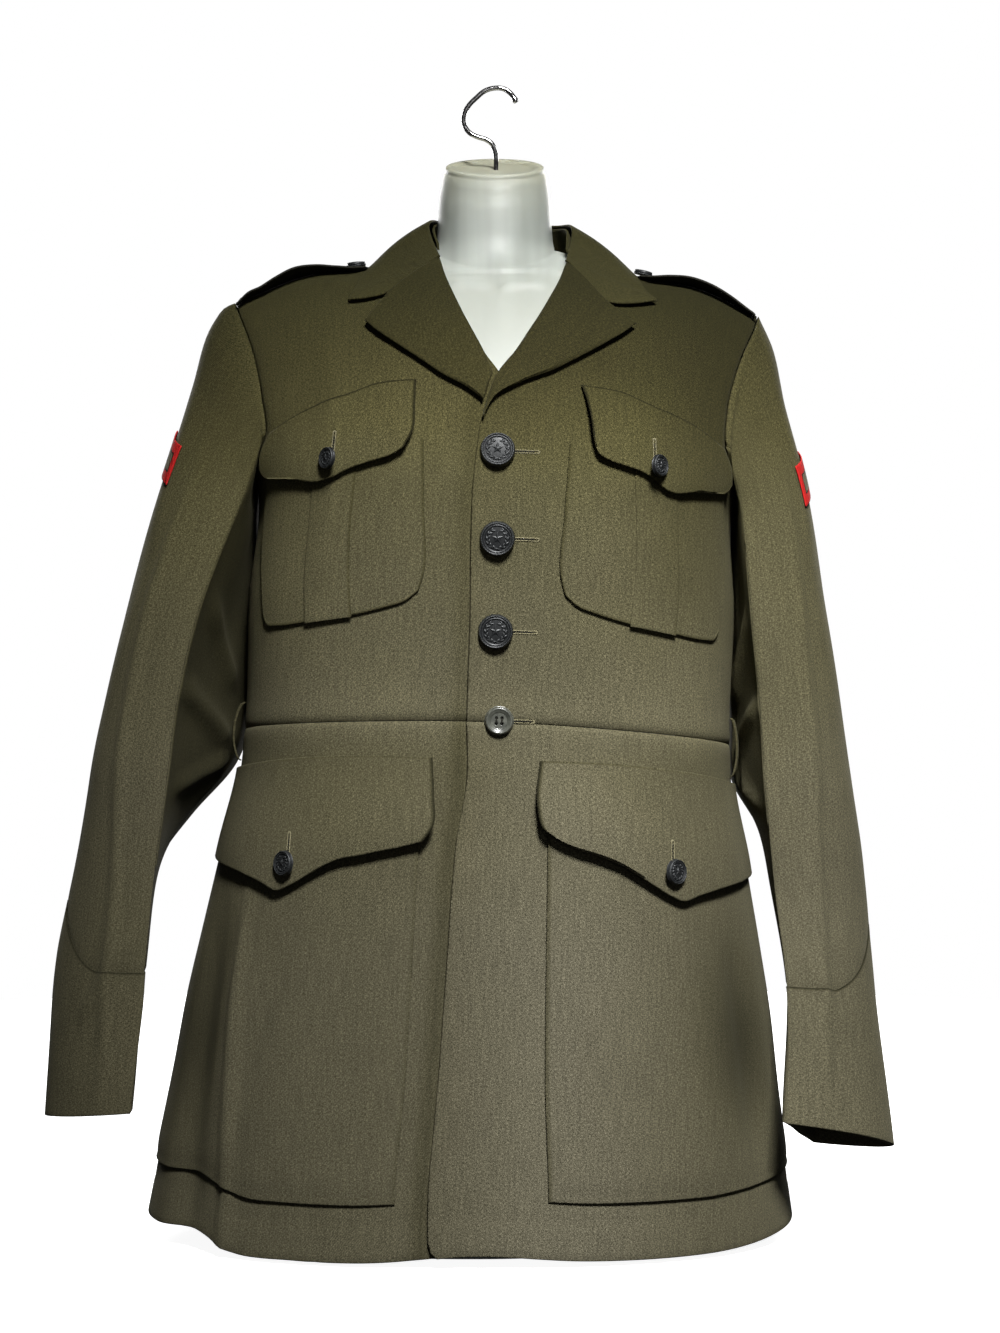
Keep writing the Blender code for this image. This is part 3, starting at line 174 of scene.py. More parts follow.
def body(turn, rise, table=COAT):
    """Point of the coat's outer surface.

    turn is the way round in degrees: 0 centre front, 90 the wearer's left, 180 centre back.
    rise is the height up to CHEST_Z, and above it the way up over the chest to the ridge."""
    turn, rise = np.broadcast_arrays(np.radians(turn), rise)
    half_width, front, back, power = [column(table, rise, k) for k in (1, 2, 3, 4)]
    reach = (np.abs(np.sin(turn)) ** power + np.abs(np.cos(turn)) ** power) ** (-1 / power)
    x, ahead = half_width * reach * np.sin(turn), reach * np.cos(turn)
    up, out = shoulder(pi / 2 * (1 - np.clip((rise - CHEST_Z) / OVER, 0, 1)), ahead > 0)
    ridge_z, ridge_y = ridge(x)
    y = ridge_y * (1 - out) - np.where(ahead > 0, front, back) * ahead * out
    z = np.where(rise < CHEST_Z, rise, CHEST_Z + (ridge_z - CHEST_Z) * up)
    return np.stack([x, y, z], -1)


def surface(grid):
    """Points of the coat's surface at a (turn, rise) grid."""
    return body(grid[..., 0], grid[..., 1])


def normal(grid, step=0.6, climb=0.002):
    """Outward unit normals of the coat's surface."""
    turn, rise = grid[..., 0], grid[..., 1]
    across = body(turn + step, rise) - body(turn - step, rise)
    upward = body(turn, np.minimum(rise + climb, RIDGE)) - body(turn, np.minimum(rise, RIDGE - climb) - climb)
    return unit(np.cross(across, upward))


def creases(rows, side, s, t, scale, lead):
    """Height of the long soft folds at s across and t along the cloth; each fades over its lead."""
    out = 0.0 * (s + t)
    for which, *ends, width, height in rows:
        if which * side >= 0:
            start, end = np.reshape(ends, (2, 2)) * scale
            run = end - start
            length = np.hypot(*run)
            way = ((s - start[0]) * run[0] + (t - start[1]) * run[1]) / length ** 2
            off = ((s - start[0]) * run[1] - (t - start[1]) * run[0]) / length
            out = out + height * bell(off / width) * ease(way, -0.15, lead) * ease(way, 1.15, -lead)
    return out


def drape(turn, rise, side):
    """How far the cloth of one side stands off its plain surface: folds and slack."""
    if side == 0:
        return 0.0
    s = np.radians(np.where(turn > 180, turn - 360, turn)) * 0.20
    slack = np.sin(31 * s + 7 * rise + side) * np.sin(23 * rise - 11 * s + 2 * side)
    return creases(FOLDS, side, s, rise, (radians(0.20), 1), 0.4) + 0.0007 * slack * ease(rise, 0.74, -0.08)


def lift(grid, out, side=0):
    """Points of the coat's surface moved out along its normal."""
    turn, rise = grid[..., 0], grid[..., 1]
    out = np.broadcast_to(out, turn.shape) + drape(turn, rise, side)
    return surface(grid) + normal(grid) * out[..., None]


def turn_at(x, rise, back=False):
    """Way round to the point x from the centre line, at this rise."""
    power = column(COAT, rise, 4)
    share = np.clip(np.abs(x) / column(COAT, rise), 0, 1)
    ahead = (1 - share ** power) ** (1 / power)
    turn = np.degrees(np.arctan2(share, -ahead if back else ahead))
    return turn if back else np.sign(x) * turn


def seen(points, back=False):
    """(turn, rise) of points (distance from the centre line, height) seen from the front or back."""
    x, z = np.asarray(points, float).T
    up = np.clip((z - CHEST_Z) / (ridge(x)[0] - CHEST_Z), 0, 1)
    lean = np.arccos(up ** ((BACK_ROUND if back else FRONT_ROUND) / 2))
    rise = np.where(z < CHEST_Z, z, CHEST_Z + OVER * (1 - lean / (pi / 2)))
    turn = turn_at(x, rise, back)
    if back:
        turn = np.where(x < 0, 360 - turn_at(-x, rise, True), turn)
    return np.stack([turn, rise], -1)


def over(x, lean):
    """(turn, rise) at distance x from the centre line; lean 0 is the ridge, negative to the front."""
    x, lean = np.broadcast_arrays(np.asarray(x, float), np.asarray(lean, float))
    rise = CHEST_Z + OVER * (1 - np.abs(lean) / 90)
    return np.stack([np.where(lean <= 0, turn_at(x, rise), turn_at(x, rise, True)), rise], -1)


def lengths(points):
    """Way along a line of points to each of them."""
    return np.concatenate([[0], np.cumsum(np.linalg.norm(np.diff(points, axis=0), axis=1))])


def along(points, count):
    """count + 1 even points on the coat along a smooth (turn, rise) line."""
    points = np.asarray(points, float)
    knots = lengths(surface(points))
    fine = smooth(np.linspace(0, knots[-1], 14 * len(points)), knots, points)
    way = lengths(surface(fine))
    at = np.linspace(0, 1, count + 1) * way[-1]
    return np.stack([np.interp(at, way, fine[:, 0]), np.interp(at, way, fine[:, 1])], -1)


def spread(bottom, top, left, right):
    """(turn, rise) grid between four edges (a Coons patch); bottom and top run left to right."""
    left[0], left[-1], right[0], right[-1] = bottom[0], top[0], bottom[-1], top[-1]
    u = np.linspace(0, 1, len(bottom))[None, :, None]
    v = np.linspace(0, 1, len(left))[:, None, None]
    edges = (1 - v) * bottom[None] + v * top[None] + (1 - u) * left[:, None] + u * right[:, None]
    return edges - (1 - v) * ((1 - u) * bottom[0] + u * bottom[-1]) - v * ((1 - u) * top[0] + u * top[-1])


def patch(bottom, top, left, right, columns, rows):
    """Grid between four short (turn, rise) lines."""
    return spread(along(bottom, columns), along(top, columns), along(left, rows), along(right, rows))


def shares(grid):
    """The share of the way down and across at each row and column of a grid."""
    rows, columns = grid.shape[:2]
    return np.linspace(0, 1, rows)[:, None], np.linspace(0, 1, columns)[None, :]


def mirrored(points, side):
    """The same points on the wearer's left (side 1) or right (side -1)."""
    return points * np.array([side, 1, 1])


def put(points, side=1):
    """Set coat points on the form: shift to the coat's centre line, then lean it askew."""
    x, y, z = side * points[..., 0] + CENTRE, points[..., 1], points[..., 2] - PIVOT_Z
    return np.stack([x * cos(SKEW) + z * sin(SKEW), y, PIVOT_Z - x * sin(SKEW) + z * cos(SKEW)], -1)


# ---------------------------------------------------------------- meshes
def add_mesh(name, points, faces, finish, nodes, uv=None, shade=None):
    """One closed piece, facing out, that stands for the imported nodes."""
    fans = np.array([(f[0], f[k], f[k + 1]) for f in faces for k in range(1, len(f) - 1)])
    a, b, c = points[fans].transpose(1, 0, 2)
    if (a * np.cross(b, c)).sum() < 0:
        faces = [tuple(reversed(f)) for f in faces]
    mesh = bpy.data.meshes.new(name)
    mesh.from_pydata(points.tolist(), [], faces)
    mesh.materials.append(finish)
    mesh.shade_smooth()
    if uv is not None:
        layer = mesh.uv_layers.new(name="weave")
        corners = np.empty(len(mesh.loops), int)
        mesh.loops.foreach_get("vertex_index", corners)
        layer.data.foreach_set("uv", uv[corners].astype(np.float32).ravel())
        # painted shade, per point
        mesh.attributes.new("shade", "FLOAT", "POINT").data.foreach_set("value", shade.astype(np.float32))
    made = bpy.data.objects.new(name, mesh)
    bpy.context.scene.collection.objects.link(made)
    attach(made, "root")
    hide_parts(*nodes)
    return made


def border(rows, columns, ring):
    """Index loops round a grid's edge: the rows and the columns of each."""
    r, c = np.arange(rows), np.arange(columns)
    if ring:
        return [(0 * c, c), (0 * c + rows - 1, c)]
    return [(np.concatenate([0 * c[1:], r[:-1], 0 * c[1:] + rows - 1, r[:0:-1]]),
             np.concatenate([c[:-1], 0 * r[1:] + columns - 1, c[:0:-1], 0 * r[1:]]))]


def shell(name, outer, inner, uv, held, rests, nodes=None, finish=None, ring=False, slot="cloth", sewn="",
          dark_underside=None, shade=0.0):
    """Closed cloth wall between two point grids; free edges are rounded, sewn ones squarer.

    sewn names the seamed edges: l and r first and last column, f and e first and last row;
    shade is the painted shade, how much darker than plain the cloth is, 0 to 1, for all or by grid point."""
    width, length, area = flat_size(np.concatenate([outer, outer[:, :1]], 1) if ring else outer)
    outer, inner = outer.copy(), inner.copy()
    rows, columns = outer.shape[:2]
    n, middle = unit(outer - inner), (outer + inner) / 2
    half = np.linalg.norm(outer - inner, axis=-1, keepdims=True) / 2
    shade = np.broadcast_to(shade, (rows, columns))
    index = np.arange(rows * columns).reshape(rows, columns)
    wrapped = np.concatenate([index, index[:, :1]], 1) if ring else index
    quads = np.stack([wrapped[:-1, :-1], wrapped[:-1, 1:], wrapped[1:, 1:], wrapped[1:, :-1]], -1).reshape(-1, 4)
    rims, weave, tones, bands, start = [], [uv.reshape(-1, 2)] * 2, [shade.ravel()] * 2, [], 2 * rows * columns
    for r, c in border(rows, columns, ring):
        edge, facing = middle[r, c], n[r, c]
        step = 0 if ring else (c == 0) * 1 - (c == columns - 1)
        toward = edge - middle[r + (r == 0) - (r == rows - 1), (c + step) % columns]
        away = 0
        for other in (np.roll(edge, 1, 0), np.roll(edge, -1, 0)):
            across = unit(np.cross(unit(edge - other), facing))
            away = away + across * np.sign((across * toward).sum(-1, keepdims=True))
        away = unit(away)
        away = unit(away - facing * (away * facing).sum(-1, keepdims=True))
        seams = {"l": c == 0, "r": c == columns - 1, "f": r == 0, "e": r == rows - 1}
        tight = np.where(sum((seams[key] for key in sewn), 0 * r) > 0, 0.3, 1.0)[:, None]
        for face in (outer, inner):
            face[r, c] -= away * (half[r, c] + GAP / 2) * tight
        centre = (outer[r, c] + inner[r, c]) / 2
        strips = [index[r, c]]
        for angle in (pi / 4, pi / 2, 3 * pi / 4):
            rims.append(centre + half[r, c] * (facing * cos(angle) + away * sin(angle) * tight))
            weave.append(uv[r, c])
            tones.append(shade[r, c])
            strips.append(np.arange(start, start + len(r)))
            start += len(r)
        strips.append(index[r, c] + rows * columns)
        for low, high in zip(strips, strips[1:]):
            band = np.stack([low, high, np.roll(high, -1), np.roll(low, -1)], -1)
            bands.append(band if r[0] == 0 else band[:, ::-1])
    faces = np.concatenate([quads, quads[:, ::-1] + rows * columns] + bands).tolist()
    points = np.concatenate([outer.reshape(-1, 3), inner.reshape(-1, 3)] + rims)
    made = add_mesh(name, points, faces, finish or CLOTH, nodes or (name,), np.concatenate(weave),
                    np.concatenate(tones))
    # inner faces and rims take a second finish; on the strap it is near black, partly lining and partly painted shade
    if dark_underside is not None:
        made.data.materials.append(dark_underside)
        made.data.polygons.foreach_set("material_index", [0] * len(quads) + [1] * (len(faces) - len(quads)))
    print("flat %-28s %.3f x %.3f m, %.4f m2" % (name, width, length, area))


def spacing(grid):
    """Distances between neighbouring points, across and down a grid."""
    return [np.linalg.norm(np.diff(grid, axis=axis), axis=-1) for axis in (1, 0)]


def flat_size(grid):
    """Width, length and area of a grid laid flat."""
    across, down = spacing(grid)
    width, length = across.sum(1).max(), down.sum(0).max()
    area = ((across[:-1] + across[1:]) / 2 * (down[:, :-1] + down[:, 1:]) / 2).sum()
    return width, length, min(area, width * length)


def edge_ways(grid):
    """Distance of each grid point from the left, right, first-row and last-row edges."""
    across, down = spacing(grid)
    left = np.pad(np.cumsum(across, 1), ((0, 0), (1, 0)))
    top = np.pad(np.cumsum(down, 0), ((1, 0), (0, 0)))
    return left, left[:, -1:] - left, top, top[-1:] - top


def seam(distance, along_it, pucker=0.00025):
    """Relief of a pressed seam: a groove at the seam and a low ridge over its allowance."""
    waves = np.sin(along_it * 420) * 0.6 + np.sin(along_it * 173 + 1.3) * 0.4
    return (-0.0005 * bell(distance, 0, 0.0028) + 0.0004 * bell(distance, 0.0095, 0.006)
            + pucker * waves * bell(distance, 0, 0.009))


def stitched(distance, deep=0.0004, at=0.0035, width=0.0016):
    """Relief of a row of stitches at this distance from an edge."""
    return -deep * bell(distance, at, width)


def front_drop(grid, side):
    """The right front runs under the left one near the centre line, up to the break."""
    under = (side < 0) * (grid[..., 0] < 90) * (1 - ease(grid[..., 1], 0.664, 0.035))
    return -(WALL + LAY) * (1 - ease(surface(grid)[..., 0], 0.045, 0.04)) * under


def cloth(name, grid, side, out=0.0, thick=WALL, rests=(), held="draped", nodes=None, turned=0.0, sewn="",
          shade=0.0):
    """Sheet over a (turn, rise) grid: a panel with its outer face at out, or a piece lying out off its rests."""
    name, turn, rise = name + WORD[side], grid[..., 0], grid[..., 1]
    out = out + front_drop(grid, side) + (LAY + thick if rests else 0)
    outer, inner = [put(lift(grid, face, side), side) for face in (out, out - thick)]
    girth = column(COAT, rise) * 0.9
    uv = np.stack([np.radians(np.where(turn > 180, turn - 360, turn)) * girth,
                   rise + 0.3 * np.maximum(rise - CHEST_Z, 0)], -1)
    c, s = cos(turned), sin(turned)
    uv = uv @ np.array([[c, s], [-s, c]]) + np.array([0.37 * side, 0.11 * len(name)])
    shell(name, outer, inner, uv, held, [rest + WORD[side] for rest in rests] or ["form_torso"],
          nodes and [node + WORD[side] for node in nodes], sewn=sewn, shade=shade)


# ---------------------------------------------------------------- fronts and back
def waist(turn):
    """Height of the waist seam, a little lower at the sides."""
    return 0.4165 - 0.0155 * ease(np.abs(turn), 0, 100)


def hem(turn, side):
    return column(HEM, side * np.where(turn > 180, 360 - turn, turn))


def side_line(side, part, shift):
    """(turn, rise) up the side seam, which runs down from the underarm and a little to the back."""
    low, high, rows = {"skirt": (hem(102, side), waist(102), SKIRT_ROWS),
                       "waist": (waist(102), CHEST_Z, WAIST_ROWS)}[part]
    heights = np.linspace(low, high, rows + 1)
    return np.stack([90 + 12 * ease(heights, CHEST_Z, -0.16) + shift, heights], -1)


def armhole(way, side):
    """(turn, rise) round the armhole: way 0 underarm, 1 shoulder tip by the front, -1 by the back."""
    far = np.abs(way)
    front = column(ARMHOLE, far, 3 if side > 0 else 2)
    return np.stack([np.where(way >= 0, front, 180 - front), column(ARMHOLE, far)], -1)


def front_edge(side, heights):
    """(turn, rise) of one front's edge; the wearer's left front laps over the right."""
    past = column(FRONT_EDGE, heights) if side > 0 else UNDERLAP + 0 * heights
    return seen(np.stack([-past, heights], -1))


def edge_lift(side, way):
    """The front edge of the lapping side stands a little off, over its facing."""
    return 0.0016 * (side > 0) * (1 - ease(way, 0, 0.030)) + stitched(way, 0.0003, 0.008, 0.0018)


def painted_shade(grid, side, rim=""):
    """Painted shade by place: darker upper chest, flanks and skirt sides, painted shadows in the skirt's fold hollows
    and beside the lapping front edge; painted edge shadow lines on the stitched rims named in rim.
    """
    turn, rise, left = grid[..., 0], grid[..., 1], side > 0
    bright = [1 - (0.50 if left else 0.18) * ease(rise, 0.565, 0.12),
              1 - 0.32 * left * ease(turn, 20, 28) * ease(rise, 0.45, 0.09),
              1 - (0.06 + 0.28 * ease(np.abs(turn - 14 * side), 0, 34)) * ease(rise, 0.425, -0.05)]
    if left:
        bright.append(1 - 0.74 * bell(turn, 57, 12) * bell(rise, 0.175, 0.065))
    else:
        lapped = surface(grid)[..., 0] - np.interp(rise, *FRONT_EDGE.T)
        bright.append(1 - 0.58 * ease(turn, 52, 5) * bell(rise, 0.165, 0.075))
        bright.append(1 - (0.42 - 0.20 * ease(rise, 0.40, 0.04)) * bell(lapped, 0.005, 0.008) * (rise < 0.66))
    shade = 1 - np.prod(bright, 0)
    # painted edge shadow lines on the named rims, darker for capital letters
    for key, spot in (("t", np.s_[0]), ("b", np.s_[-1]), ("i", np.s_[:, 0]), ("o", np.s_[:, -1])):
        if key in rim.lower():
            shade[spot] = np.maximum(shade[spot], 0.85 if key.upper() in rim else 0.45)
    return shade


def chest_front(side, columns=60):
    edge = front_edge(side, np.array([0.4175, 0.45, 0.50, 0.55, 0.60, 0.63]))
    roll = np.vstack([seen(ROLL_LINE[side]), over(NECK_POINT, 0)])
    left = np.concatenate([along(np.vstack([edge, roll[:1]]), WAIST_ROWS)[:-1], along(roll, ARM_ROWS)])
    right = np.concatenate([side_line(side, "waist", -SEAM_TURN)[:-1],
                            armhole(np.linspace(0, 1, ARM_ROWS + 1), side)])
    turns = np.linspace(left[0, 0], right[0, 0], 12)
    bottom = along(np.stack([turns, waist(turns) + GAP / 2], -1), columns)
    top = along(over(np.linspace(NECK_POINT, SHOULDER_TIP[side], 12), -0.25), columns)
    grid = spread(bottom, top, left, right)
    points = surface(grid)
    x, ways = points[..., 0], edge_ways(points)
    relief = seam(ways[2], x) + seam(ways[1], points[..., 2]) + seam(ways[3], x, 0) * ease(x, 0.06, 0.03)
    relief += edge_lift(side, ways[0]) * (1 - ease(grid[..., 1], 0.60, 0.05))
    cloth("chest_front", grid, side, relief, sewn="rfe", shade=painted_shade(grid, side))


def skirt_front(side, columns=74):
    left = along(front_edge(side, np.linspace(waist(0) - GAP / 2, 0.016, 10)), SKIRT_ROWS)
    right = side_line(side, "skirt", -SEAM_TURN)[::-1]
    turns = np.linspace(left[0, 0], right[0, 0], 12)
    top = along(np.stack([turns, waist(turns) - GAP / 2], -1), columns)
    height = hem(0, side) + 0.002
    past = column(FRONT_EDGE, height) if side > 0 else UNDERLAP
    corner = seen([(0.002 - past, height)])[0]
    foot = np.linspace(corner[0], right[-1, 0], 24)
    bottom = along(np.stack([foot, hem(foot, side)], -1), columns)
    bottom[0], bottom[-1] = corner, right[-1]
    grid = spread(top, bottom, left, right)
    points = surface(grid)
    ways = edge_ways(points)
    relief = seam(ways[2], points[..., 0]) + seam(ways[1], points[..., 2])
    relief += edge_lift(side, ways[0]) + stitched(ways[3], at=0.030, width=0.003)
    cloth("skirt_front", grid, side, relief, sewn="rf", shade=painted_shade(grid, side))


def back(side, columns=66, vent_rows=57, neck_columns=18):
    """Full-length back half, with a lapped vent below VENT_TOP at the centre."""
    vent, closed, middle = [seen([(GAP / 2, z) for z in heights], True) for heights in (
        (0.013, 0.13, VENT_TOP - 0.004), (VENT_TOP, 0.34, waist(102)), (waist(102), 0.50, CHEST_Z))]
    neck_x = np.linspace(GAP / 2, NECK_POINT, 9)
    neck = over(neck_x, 0.25 + (NECK_DROP - 0.25) * np.sqrt(1 - (neck_x / NECK_POINT) ** 2))
    blades = np.stack([np.full(6, neck[0, 0]), np.linspace(CHEST_Z, neck[0, 1], 6)], -1)
    left = np.concatenate([along(vent, vent_rows), along(closed, SKIRT_ROWS - vent_rows - 1)[:-1],
                           along(middle, WAIST_ROWS)[:-1], along(blades, ARM_ROWS)])
    right = np.concatenate([side_line(side, "skirt", SEAM_TURN)[:-1], side_line(side, "waist", SEAM_TURN)[:-1],
                            armhole(-np.linspace(0, 1, ARM_ROWS + 1), side)])
    foot = np.linspace(vent[0, 0], right[0, 0], 24)
    bottom = along(np.stack([foot, hem(foot, side)], -1), columns)
    tip = over(np.linspace(NECK_POINT, SHOULDER_TIP[side], 8), 0.25)
    top = np.concatenate([along(neck, neck_columns)[:-1], along(tip, columns - neck_columns)])
    bottom[-1] = right[0]
    grid = spread(bottom, top, left, right)
    lapped = (grid[:, :1, 1] < VENT_TOP - 0.002) * np.clip(1 - np.arange(columns + 1) / 12, 0, 1)
    lap = seen(np.stack([np.full(len(grid), -VENT_LAP), grid[:, 0, 1]], -1), True)[:, :1] - grid[:, :1, 0]
    grid[..., 0] += lap * lapped
    points, rise = surface(grid), grid[..., 1]
    ways = edge_ways(points)
    relief = seam(ways[1], points[..., 2]) + seam(ways[0], points[..., 2]) * (rise > VENT_TOP)
    relief += stitched(ways[2], at=0.030, width=0.003)
    if side < 0:
        relief -= (WALL + LAY) * (1 - ease(points[..., 0], 0.03, 0.04)) * ease(rise, VENT_TOP + 0.028, -0.028)
    cloth("back", grid, side, relief, sewn="re")


# ---------------------------------------------------------------- lapels and collar
def lapel(side, rows=44, columns=30):
    roll, edge = LAPEL_ROLL[side] + np.array([0.0008, 0]), LAPEL_EDGE[side]
    left, right = along(seen(roll), rows), along(seen(edge), rows)
    top = along(seen([roll[-1] - np.array([0, 0.0008]), NOTCH[side], edge[-1]]) - np.array([0, GAP]), columns)
    grid = spread(along(np.stack([left[0], right[0]]), columns), top, left, right)
    up, across = shares(grid)
    out = 0.0020 * np.sin(pi * across) ** 0.7 + 0.0030 * across ** 1.5
    out = out + 0.0014 * ease(across, 0.72, 0.28) * ease(up, 0.55, 0.45)
    # painted shade: the lapels darker than the fronts, a little more on the wearer's left
    cloth("lapel", grid, side, out, DOUBLE, ("chest_front",), "folded", turned=0.5 * side,
          shade=0.52 + 0.04 * side)


COLLAR_WAY = (0, 0.22, 0.45, 0.72, 1)    # from the gorge (0) by the shoulder to the centre back (1)
COLLAR_ROLL = mm([                       # roll line in coat points
    (49.5, -34, 786.5), (56, -16, 806), (57.5, 4, 821.5), (44, 43, 828), (0, 64, 831)])
COLLAR_LEAF = np.array([                 # outer edge: distance from the centre line, lean over the shoulder
    (0.1215, -34.3), (0.114, -21.0), (0.102, 0.0), (0.074, 27.0), (0.0, 34.0)])
COLLAR_ASKEW = -0.0033                   # the roll line sits a little to the wearer's right
GORGE = (0.0500, 0.7855)


def collar_half(side, rows=26, spans=56, stand_rows=12):
    """Outer-face points of the fall and of the stand on one side, and how free each is."""
    way = np.linspace(0, 1, spans + 1)
    roll = smooth(way, COLLAR_WAY, COLLAR_ROLL)
    leaf = over(*smooth(way, COLLAR_WAY, COLLAR_LEAF).T)
    down = np.linspace(0, 1, rows + 1)[:, None]
    start = seen([GORGE])
    front_end = along(np.vstack([start, seen([NOTCH[side], COLLAR_TIP[side]]) + np.array([0, GAP])]), rows)
    leaf = leaf + (front_end[-1] - leaf[0]) * np.clip(1 - way / 0.22, 0, 1)[:, None]
    free = roll * (1 - down[..., None]) + lift(leaf, LAY + DOUBLE) * down[..., None]
    outward = unit(free - np.array([0, 0.012, 0.775]))
    loose = ease(way, 0, 0.4)
    free = free + outward * (0.0045 * np.sin(pi * down) * loose)[..., None]
    on = np.stack([along(np.vstack([start * (1 - w) + over(x, -20.0 * (1 - w)) * w, end]), rows)
                   for x, w, end in zip(roll[:, 0], loose, leaf)], 1)
    on[:, 0] = front_end
    lying = lift(on, LAY + DOUBLE + 0.0026 * ease(1 - way / 0.20) * ease(down, 0.25, 0.75))
    fall = lying * (1 - loose[:, None]) + free * loose[:, None]
    way = np.linspace(0.17, 1, spans + 1)
    front, behind = ease(way, 0, 0.45), pi / 2 * np.clip((way - 0.45) / 0.55, 0, 1)
    x = np.where(way < 0.45, 0.0495 + (NECK_POINT - 0.0495) * front, NECK_POINT * np.cos(behind))
    foot = lift(over(x, np.where(way < 0.45, -24 * (1 - front), NECK_DROP * np.sin(behind))), 0.0016)
    top = smooth(way, COLLAR_WAY, COLLAR_ROLL) * np.array([0.95, 0.95, 1]) + np.array([0, 0.0006, -0.0036])
    up = np.linspace(0, 1, stand_rows + 1)[:, None]
    stand = foot * (1 - up[..., None]) + top * up[..., None]
    return (fall, loose * (1 - down)), (stand, ease(way, 0, 0.4) * up)


def grid_normals(points):
    """Unit normals of a grid from its neighbouring points."""
    return unit(np.cross(np.gradient(points, axis=1), np.gradient(points, axis=0)))


def collar():
    for name, (half, askew), (other, _), thick in zip(("collar_fall", "collar_stand"), collar_half(1),
                                                      collar_half(-1), (DOUBLE, WALL)):
        whole = np.concatenate([half, mirrored(other, -1)[:, -2::-1]], 1)
        whole[..., 0] += COLLAR_ASKEW * np.concatenate([askew, askew[:, -2::-1]], 1)
        n = grid_normals(whole)
        n = n * np.sign(n[2, whole.shape[1] // 2, 1])
        left, _, top, _ = edge_ways(whole)
        # painted shade: the collar a little darker than plain cloth
        shell(name, put(whole), put(whole - n * thick), np.stack([left, -top], -1), "folded",
              ["chest_front_left", "back_left"], shade=0.18)


# ---------------------------------------------------------------- sleeves
# Rings down the sleeve, mm: level, outermost x, front crease x, hind seam x, innermost x, front crease y,
# hind seam y, rise of the outermost over the innermost, rise of the crease over the hind seam
SLEEVE = {
    -1: mm([(590, 266, 196, 196, 195, -64, 70, 60, 10), (500, 292, 230, 203, 196.5, -66, 78, 20, 0),
            (420, 309, 247, 210, 201, -62, 82, 0, 0), (370, 320, 252, 224, 213, -60, 80, 0, 0),
            (330, 327.5, 256, 252, 242, -58, 74, 0, 0), (290, 333.5, 260, 276, 266, -58, 66, 0, 0),
            (200, 344, 265, 290, 276, -68, 48, -5, 4), (93.5, 344, 270, 292, 279, -85, 26, -14, 12)]),
    1: mm([(590, 251, 194, 196, 195, -64, 70, 60, 10), (500, 273.5, 206, 200, 196.5, -70, 76, 20, 0),
           (420, 289.5, 216, 206, 200.5, -66, 80, 0, 0), (370, 299, 221, 214, 204, -66, 78, 0, 0),
           (330, 306.5, 226, 238, 226, -65, 72, 0, 0), (290, 311.5, 231, 250, 237, -65, 64, 0, 4),
           (200, 320.5, 242, 266, 251.5, -85, 40, -6, 16), (96, 333, 242, 278, 250, -110, 4, -12, 34)])}
SLEEVE_SIZE = (0.36, 0.60)               # rough girth and length, for its folds
SLEEVE_WEAVE, CUFF_GIRTH = 0.62, 0.30    # length and girth of the cloth, for the weave
SLEEVE_HEAD = 0.16       # share of the way down where the first ring of the table comes
CROWN_DOWN = (0.012, 0.03, 0.09)         # places down the sleeve head, and its fullness outward and upward there
CROWN = {-1: mm([(4.5, 5.5), (8, 7), (5, 3.5)]), 1: mm([(1.5, 1.2), (3.5, 2.5), (1, 0.7)])}
# Way round the sleeve, and the armhole's way it starts from; the seams meet the armhole at 0.375
AROUND = np.array([(0.0, -0.375), (0.2499, -1.0), (0.25, 1.0), (0.5, 0.375), (1.0, -0.375)])


def sleeve_ring(row, around):
    """Ring of points: around 0 hind seam, 0.25 outermost, 0.5 front seam, 0.75 innermost."""
    level, outer, fold, hind, inner, fold_y, hind_y, outer_rise, fold_rise = row
    fore = np.array([fold, fold_y, level + fold_rise / 2])
    aft = np.array([hind, hind_y, level - fold_rise / 2])
    middle, half, around = (fore + aft) / 2, (fore - aft) / 2, around[:, None]
    outside = np.array([outer, middle[1], level + outer_rise / 2]) - middle
    inside = np.array([inner, middle[1], level - outer_rise / 2]) - middle
    bulge = np.where(around <= 0.5, outside, inside) * np.abs(np.sin(2 * pi * around)) ** 1.12
    return middle - half * np.cos(2 * pi * around) + bulge


def keep_off_body(points):
    """Move sleeve points out sideways to lie clear of the coat's side, its flaps and belt loop."""
    x, y, z = np.moveaxis(points, -1, 0)
    half_width, front, behind, power = [column(COAT, np.minimum(z, CHEST_Z), k) for k in (1, 2, 3, 4)]
    share = np.clip(np.abs(y) / np.where(y < 0, front, behind), 0, 0.98)
    across = (1 - share ** power) ** (1 / power)
    slope = np.sqrt(1 + 1.5 * (share / np.maximum(across, 0.2)) ** (2 * power - 2))
    near = 0.0005 + 0.0072 * ease(y, -0.026, -0.02) * ease(z, 0.46, 0.03)
    near = near + 0.0077 * ease(y, 0.010, -0.02) * ease(z, 0.345, 0.02) * ease(z, 0.450, -0.02)
    near = near + 0.0062 * ease(y, 0.015, -0.02) * ease(z, 0.360, -0.02)
    return np.stack([np.maximum(x, half_width * across + near * slope), y, z], -1)


